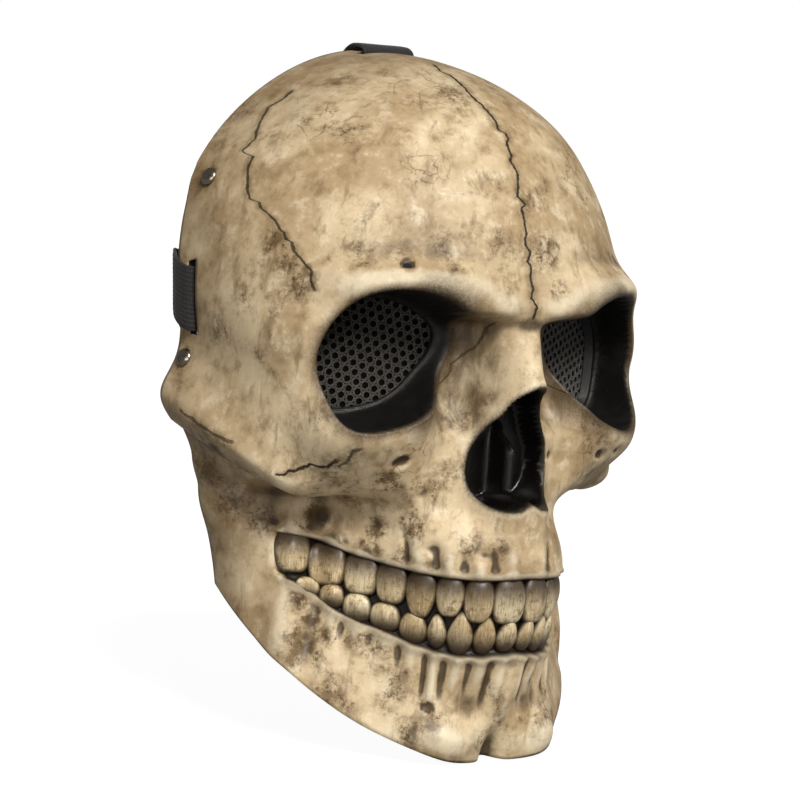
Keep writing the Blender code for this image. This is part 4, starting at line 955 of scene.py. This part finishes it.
# Eye nets: flat discs of black polyester spacer net, glued behind the socket floors.
# The face is knitted round open holes in slanting rows; a closed black knit behind it is its back layer and
# also painted shade for the dark inside the mask.
NET_PITCH = 3.7 * MM
NET_HOLE = 1.28 * MM
NET_STRAND = 0.5 * MM
NET_BACK = 1.2 * MM
NET_SLANT = 0.30
NET_REACH = 9
# Black polyester knit: matt, with lighter fuzzy filaments that catch the light on the strands
knit, tree, output = new_material("black_polyester_spacer_net")
spot = add_node(tree, "TexCoord").outputs["Object"]
fuzz = grain(0.45, 5.0, 0.8)
thread = add_node(tree, "TexNoise", {"Vector": spot, "Scale": 2600.0, "Detail": 3.0, "Roughness": 0.8,
                                     "Distortion": 1.5}).outputs["Fac"]
colour = over(linear("#35322F"), linear("#7B766E"), step_of(thread, 0.48, 0.64))
colour = over(colour, linear("#0B0B0B"), step_of(fuzz, 0.52, 0.36, 0.0, 0.8))
knit_bump = add_node(tree, "Bump", {"Strength": 0.9, "Distance": 0.0003, "Height": thread})
knit_skin = add_node(tree, "BsdfPrincipled", {"Base Color": colour, "Roughness": 0.85,
                                              "Sheen Weight": 0.35, "Sheen Roughness": 0.4,
                                              "Normal": knit_bump.outputs[0]})
tree.links.new(knit_skin.outputs[0], output.inputs["Surface"])
# Closed polyester tricot behind it: flat black with a faint grain, a back layer that also paints the shade
# inside the mask, so that the holes look dark
shade_lining, tree, output = new_material("black_tricot_and_painted_shade")
spot = add_node(tree, "TexCoord").outputs["Object"]
fibre = grain(0.5, 3.0, 0.7)
lining_bump = add_node(tree, "Bump", {"Strength": 0.5, "Distance": 0.0002, "Height": fibre})
lining_skin = add_node(tree, "BsdfPrincipled", {"Base Color": linear("#0C0B0B"), "Roughness": 0.95,
                                                "Specular IOR Level": 0.2,
                                                "Normal": lining_bump.outputs[0]})
tree.links.new(lining_skin.outputs[0], output.inputs["Surface"])
for word, sign in (("right", -1.0), ("left", 1.0)):
    across = np.array([sign * math.cos(SOCKET_YAW), math.sin(SOCKET_YAW), 0.0])
    behind = np.array([-sign * math.sin(SOCKET_YAW), math.cos(SOCKET_YAW), 0.0])
    start = np.array([sign * SOCKET_X, SOCKET_FLOOR + WALL / math.cos(SOCKET_YAW), SOCKET_Z])
    start = start + 0.3 * MM * behind

    def net_place(u, v, depth):
        """A place on the net: across, up and behind its front."""
        return start + u * across + np.array([0.0, 0.0, v]) + depth * behind

    net = bmesh.new()
    for row in range(-NET_REACH, NET_REACH + 1):
        for column in range(-NET_REACH, NET_REACH + 1):
            u = (column + 0.5 * (row % 2)) * NET_PITCH
            v = row * NET_PITCH * math.sqrt(3.0) / 2.0
            tilted_u = u * math.cos(NET_SLANT) - v * math.sin(NET_SLANT)
            tilted_v = u * math.sin(NET_SLANT) + v * math.cos(NET_SLANT)
            x = SOCKET_X + tilted_u * math.cos(SOCKET_YAW)
            if socket_distance(np.array(x), np.array(SOCKET_Z + tilted_v)) > -1.2 * MM:
                continue
            turned = Matrix.Rotation(NET_SLANT + math.pi / 6.0, 4, "Z")
            turned = Matrix.Translation((tilted_u, tilted_v, 0.0)) @ turned
            bmesh.ops.create_circle(net, cap_ends=True, segments=6, radius=NET_PITCH / math.sqrt(3.0),
                                    matrix=turned)
    bmesh.ops.remove_doubles(net, verts=net.verts, dist=0.1 * MM)
    bmesh.ops.subdivide_edges(net, edges=net.edges, cuts=1)
    middles = {one: one.calc_center_median() for one in net.faces}
    bmesh.ops.inset_individual(net, faces=net.faces, thickness=0.4 * MM)
    for one, middle in middles.items():
        for vert in one.verts:
            vert.co = middle + (vert.co - middle).normalized() * NET_HOLE
    bmesh.ops.delete(net, geom=list(middles), context="FACES")
    bmesh.ops.recalc_face_normals(net, faces=net.faces)
    bmesh.ops.solidify(net, geom=net.faces, thickness=NET_STRAND)
    for vert in net.verts:
        vert.co = net_place(vert.co.x, vert.co.y, 0.3 * MM + abs(vert.co.z))
    disc = bmesh.ops.create_circle(net, cap_ends=True, segments=64, radius=1.0)["verts"]
    for vert in disc:
        turn = math.degrees(math.atan2(vert.co.y, vert.co.x)) % 360.0
        table = np.array(SOCKET_OUTLINE, float)
        degrees = np.concatenate([table[:, 0] - 360.0, table[:, 0], table[:, 0] + 360.0])
        reach = curve(degrees, np.tile(table[:, 1], 3), np.array(turn)) * SOCKET_RADIUS - 0.9 * MM
        vert.co = net_place(vert.co.x * reach / math.cos(SOCKET_YAW), vert.co.y * reach, NET_BACK - 0.1 * MM)
    backing = [f for f in net.faces if all(v in set(disc) for v in f.verts)]
    for one in backing:
        one.material_index = 1
    bmesh.ops.solidify(net, geom=backing, thickness=0.1 * MM)
    bmesh.ops.recalc_face_normals(net, faces=net.faces)
    eye_mesh = object_of(net, "eye_mesh_" + word)
    eye_mesh.data.materials.append(knit)
    eye_mesh.data.materials.append(shade_lining)
    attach(eye_mesh, "root")
    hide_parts("eye_net_" + word)


# Side strap: black ribbed elastic webbing, 25 mm wide, from slot to slot round the back of the head.
# Each end goes in through its slot, folds round the rim and is lapped on the head side.
# It is pulled upwards on its way back, as it is in the photograph; flat webbing is modelled directly.
STRAP_WIDTH = 25.0 * MM
STRAP_HALF = 0.8 * MM
RIB_PITCH = 1.7 * MM
# across and back in mm, share of the upward pull
SIDE_PATH = [
    (72.2, 117.6, 1.0), (77.1, 113.1, 1.0), (80.5, 109.8, 0.8), (84.0, 106.2, 0.4), (85.7, 100.9, 0.0),
    (85.7, 93.8, 0.0), (85.8, 89.7, 0.0), (86.6, 87.9, 0.0), (88.1, 86.8, 0.0), (90.0, 86.5, 0.0),
    (91.8, 87.2, 0.0), (93.0, 88.8, 0.08), (93.4, 91.6, 0.25), (93.4, 94.4, 0.5), (91.8, 98.3, 0.8),
    (88.4, 103.5, 1.0), (85.1, 107.8, 1.0), (81.7, 111.2, 1.0), (75.1, 117.5, 1.0), (68.4, 123.0, 0.95),
    (61.7, 127.7, 0.85), (51.7, 133.5, 0.65), (41.7, 137.8, 0.42), (31.7, 140.9, 0.2), (21.7, 142.7, 0.05),
    (11.7, 143.7, 0.0), (0.0, 144.0, 0.0)]
UPWARD_PULL = 8.0


def webbing_strap(name, path, wide, samples):
    """A ribbed strap along a path of points, as wide as the webbing in one direction at each point."""
    run = np.concatenate([[0.0], np.cumsum(np.linalg.norm(np.diff(path, axis=0), axis=1))])
    places = np.linspace(0.0, run[-1], samples)
    centre = np.stack([np.interp(places, run, path[:, k]) for k in range(3)], -1)
    for _ in range(3):
        centre[1:-1] = 0.25 * centre[:-2] + 0.5 * centre[1:-1] + 0.25 * centre[2:]
    ahead = np.gradient(centre, axis=0)
    ahead /= np.linalg.norm(ahead, axis=1, keepdims=True)
    out = np.cross(ahead, wide)
    out /= np.linalg.norm(out, axis=1, keepdims=True)
    strap = bmesh.new()
    run_layer = strap.verts.layers.float.new("run")
    across_layer = strap.verts.layers.float.new("across")
    count = 2 * 46
    ring = bmesh.ops.create_circle(strap, segments=count, radius=1.0)["verts"]
    edges = list(dict.fromkeys(e for v in ring for e in v.link_edges))
    around = sorted(ring, key=lambda vert: math.atan2(vert.co.y, vert.co.x) % (2.0 * math.pi))
    numbers = {vert: number for number, vert in enumerate(around)}
    share = np.linspace(-1.0, 1.0, count // 2)
    flat = np.concatenate([share, share[::-1]]) * (STRAP_WIDTH / 2.0 - 0.25 * MM)
    ribs = 0.5 + 0.5 * np.cos(2.0 * math.pi * flat / RIB_PITCH)
    ends = np.clip(1.0 - (np.abs(flat) / (STRAP_WIDTH / 2.0)) ** 30, 0.25, 1.0)
    faces_out = np.concatenate([np.ones(count // 2), -np.ones(count // 2)])
    thick = faces_out * STRAP_HALF * (0.72 + 0.28 * ribs) * ends
    for step in range(samples):
        if step:
            grown = bmesh.ops.extrude_edge_only(strap, edges=edges)["geom"]
            edges = [e for e in grown if isinstance(e, bmesh.types.BMEdge)]
            former, numbers = numbers, {}
            for vert in (g for g in grown if isinstance(g, bmesh.types.BMVert)):
                below = next(e.other_vert(vert) for e in vert.link_edges if e.other_vert(vert) in former)
                numbers[vert] = former[below]
        for vert, number in numbers.items():
            vert.co = centre[step] + wide * flat[number] + out[step] * thick[number]
            vert[run_layer] = places[step]
            vert[across_layer] = flat[number]
        edges = [e for e in edges if all(v in numbers for v in e.verts)]
    bmesh.ops.holes_fill(strap, edges=[e for e in strap.edges if len(e.link_faces) == 1], sides=0)
    bmesh.ops.recalc_face_normals(strap, faces=strap.faces)
    for one in strap.faces:
        one.smooth = len(one.verts) == 4
    piece = object_of(strap, name)
    piece.data.materials.append(elastic)
    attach(piece, "root")
    return piece


# Black polyester elastic: matt, lengthwise ribs, fine weft picks, flecked a little grey by lint
elastic, tree, output = new_material("black_ribbed_elastic_webbing")
spot = add_node(tree, "TexCoord").outputs["Object"]
picks = add_node(tree, "Math", {0: sum_of("MULTIPLY", map_of("run"), 2.0 * math.pi / (0.7 * MM))},
                 operation="SINE").outputs[0]
rib_crest_highlight = add_node(tree, "Math", {0: sum_of("MULTIPLY", map_of("across"), 2.0 * math.pi / RIB_PITCH)},
                    operation="COSINE").outputs[0]
lint = grain(0.6, 4.0, 0.75)
# Rib crests painted lighter grey: a painted highlight on the tops of the ribs
colour = over(linear("#070708"), linear("#222123"), step_of(rib_crest_highlight, -0.6, 0.9))
colour = over(colour, linear("#3A3836"), sum_of("MULTIPLY", step_of(lint, 0.52, 0.70), 0.6))
weave = sum_of("ADD", sum_of("MULTIPLY", picks, 0.05 * MM), sum_of("MULTIPLY", lint, 0.12 * MM))
elastic_bump = add_node(tree, "Bump", {"Strength": 0.8, "Distance": 1.0, "Height": weave})
elastic_skin = add_node(tree, "BsdfPrincipled", {"Base Color": colour, "Roughness": 0.78,
                                                 "Sheen Weight": 0.25, "Sheen Roughness": 0.4,
                                                 "Normal": elastic_bump.outputs[0]})
tree.links.new(elastic_skin.outputs[0], output.inputs["Surface"])

half_path = np.array(SIDE_PATH)
half_path = np.stack([half_path[:, 0], half_path[:, 1],
                      11.1 - 0.1295 * (half_path[:, 1] - 86.5) + UPWARD_PULL * half_path[:, 2]], -1) * MM
side_path = np.concatenate([half_path, half_path[-2::-1] * np.array([-1.0, 1.0, 1.0])])
side_webbing = webbing_strap("side_elastic", side_path, np.array([0.0, 0.1284, 0.9917]), 300)
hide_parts("side_strap")


# Top strap: the same webbing, folded through the slot in the crown and lapped under itself.
# It runs down the back of the head and ends in a sewn loop round the side strap.
# back and up in mm
TOP_PATH = [
    (119.2, 92.0), (116.1, 96.7), (113.9, 99.9), (111.8, 103.0), (107.8, 104.4), (101.9, 104.1),
    (98.6, 104.0), (97.6, 104.2), (96.1, 105.3), (95.3, 107.0), (95.4, 108.9), (96.5, 110.4),
    (98.2, 111.2), (100.5, 111.5), (104.1, 111.7), (107.5, 110.2), (110.6, 107.2), (113.3, 104.1),
    (119.8, 94.6), (123.8, 88.2), (127.7, 81.7), (131.2, 75.1), (134.5, 68.3), (137.4, 61.3),
    (140.1, 54.3), (142.4, 47.1), (144.6, 39.8), (146.6, 32.4), (148.5, 25.0), (148.8, 21.3),
    (148.3, 17.6), (147.3, 9.5), (145.6, -2.9), (144.7, -9.4), (144.1, -10.5), (143.0, -11.1),
    (141.7, -11.1), (140.7, -10.5), (140.0, -9.4), (139.9, -8.8), (140.7, -2.2), (143.1, 16.4),
]
top_path = np.array([(0.0, y, z) for y, z in TOP_PATH]) * MM
top_webbing = webbing_strap("top_elastic", top_path, np.array([1.0, 0.0, 0.0]), 230)
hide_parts("top_strap")


# Rivets: four nickel-plated steel rivets with low domed heads, set through the shell and the pads.
# Each has a rolled rim outside and a flat flange on the foam inside.
RIVET_PLACES = {"upper": ((83.10, 92.22, 56.98), (0.9066, -0.1000, 0.4100)),
                "lower": ((92.03, 87.72, -11.40), (0.9297, -0.1415, 0.3402))}
RIVET_PROFILE = [
    (0.0, -9.0), (2.9, -9.0), (3.0, -8.8), (3.0, -8.3), (2.9, -8.2), (1.5, -8.2),
    (1.5, 0.55), (3.4, 0.55), (3.62, 0.62), (3.68, 0.85), (3.55, 1.10), (3.25, 1.42),
    (2.70, 1.86), (2.0, 2.2), (1.2, 2.42), (0.5, 2.5), (0.0, 2.5),
]
# Nickel plate: bright and slightly scratched, with brown wash rubbed into patches
nickel, tree, output = new_material("nickel_plated_steel")
spot = add_node(tree, "TexCoord").outputs["Object"]
rub = grain(1.4, 5.0, 0.75)
colour = over(linear("#A59C8C"), linear("#6E6454"), step_of(rub, 0.48, 0.66))
nickel_skin = add_node(tree, "BsdfPrincipled", {"Base Color": colour, "Metallic": 1.0,
                                                "Roughness": step_of(rub, 0.3, 0.7, 0.14, 0.32)})
tree.links.new(nickel_skin.outputs[0], output.inputs["Surface"])
for name, (at, out) in RIVET_PLACES.items():
    for word, side in (("right", -1.0), ("left", 1.0)):
        rivet = bmesh.new()
        corners = [rivet.verts.new((r * MM, 0.0, h * MM)) for r, h in RIVET_PROFILE]
        outline = [rivet.edges.new(pair) for pair in zip(corners, corners[1:])]
        bmesh.ops.spin(rivet, geom=corners + outline, cent=(0, 0, 0), axis=(0, 0, 1), angle=2.0 * math.pi,
                       steps=40, use_merge=True)
        bmesh.ops.remove_doubles(rivet, verts=rivet.verts, dist=0.01 * MM)
        bmesh.ops.recalc_face_normals(rivet, faces=rivet.faces)
        facing = Vector((side * out[0], out[1], out[2])).to_track_quat("Z", "Y").to_matrix().to_4x4()
        place = Matrix.Translation(Vector((side * at[0], at[1], at[2])) * MM)
        bmesh.ops.transform(rivet, matrix=place @ facing, verts=rivet.verts)
        for one in rivet.faces:
            one.smooth = True
        domed = object_of(rivet, "domed_rivet_" + name + "_" + word)
        domed.data.materials.append(nickel)
        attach(domed, "root")
        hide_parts("rivet_" + name + "_" + word)


# Foam pads: four strips of soft black foam, cut from sheet and riveted inside the rim.
# Their edges are rounded over and the foam is drawn in under the rivet, shaped directly.
PAD_THICK = 4.0 * MM
# rows and places along the shell
PADS = {"upper": ((0.6597, 0.965), (0.780, 0.962)), "lower": ((0.2611, 0.4637), (0.835, 0.985))}
# Open-cell polyurethane foam: dead matt black with fine pores
foam, tree, output = new_material("black_polyurethane_foam")
spot = add_node(tree, "TexCoord").outputs["Object"]
cell = add_node(tree, "TexVoronoi", {"Vector": spot, "Scale": 1600.0}).outputs[0]
cloud = grain(6.0, 4.0, 0.6)
colour = over(linear("#121214"), linear("#232325"), step_of(cloud, 0.35, 0.65))
colour = over(colour, linear("#060606"), step_of(cell, 0.35, 0.10))
foam_bump = add_node(tree, "Bump", {"Strength": 0.7, "Distance": 0.0003, "Height": cell})
foam_skin = add_node(tree, "BsdfPrincipled", {"Base Color": colour, "Roughness": 0.95,
                                              "Specular IOR Level": 0.25, "Normal": foam_bump.outputs[0]})
tree.links.new(foam_skin.outputs[0], output.inputs["Surface"])
for name, (rows, places) in PADS.items():
    pin = np.array(RIVET_PLACES[name][0]) * MM
    for word, side in (("right", -1.0), ("left", 1.0)):
        strip = bmesh.new()
        bmesh.ops.create_cube(strip, size=2.0)
        bmesh.ops.subdivide_edges(strip, edges=strip.edges, cuts=23, use_grid_fill=True)
        verts = list(strip.verts)
        block = np.array([v.co for v in verts])
        up = np.interp(block[:, 0], (-1.0, 1.0), rows)
        along = np.interp(block[:, 1], (-1.0, 1.0), places)
        long_edge = np.clip(1.0 - np.abs(block[:, 1]) ** 8, 0.0, 1.0)
        short_edge = np.clip(1.0 - np.abs(block[:, 0]) ** 24, 0.0, 1.0)
        crown = np.sqrt(short_edge * long_edge)
        near, _ = skull_face(up, along, WALL + 0.6 * MM)
        far, _ = skull_face(up, along, WALL + 0.6 * MM + PAD_THICK)
        drawn = np.exp(-(np.linalg.norm(near - pin, axis=1) / (6.0 * MM)) ** 2)
        depth = (block[:, 2] + 1.0) / 2.0 * (0.45 + 0.55 * crown) * (1.0 - 0.12 * drawn)
        placed = near + (far - near) * depth[:, None]
        for vert, at in zip(verts, placed):
            vert.co = (side * at[0], at[1], at[2])
        bmesh.ops.recalc_face_normals(strip, faces=strip.faces)
        for one in strip.faces:
            one.smooth = True
        pad = object_of(strip, "foam_pad_" + name + "_" + word)
        pad.data.materials.append(foam)
        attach(pad, "root")
        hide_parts("pad_" + name + "_" + word)
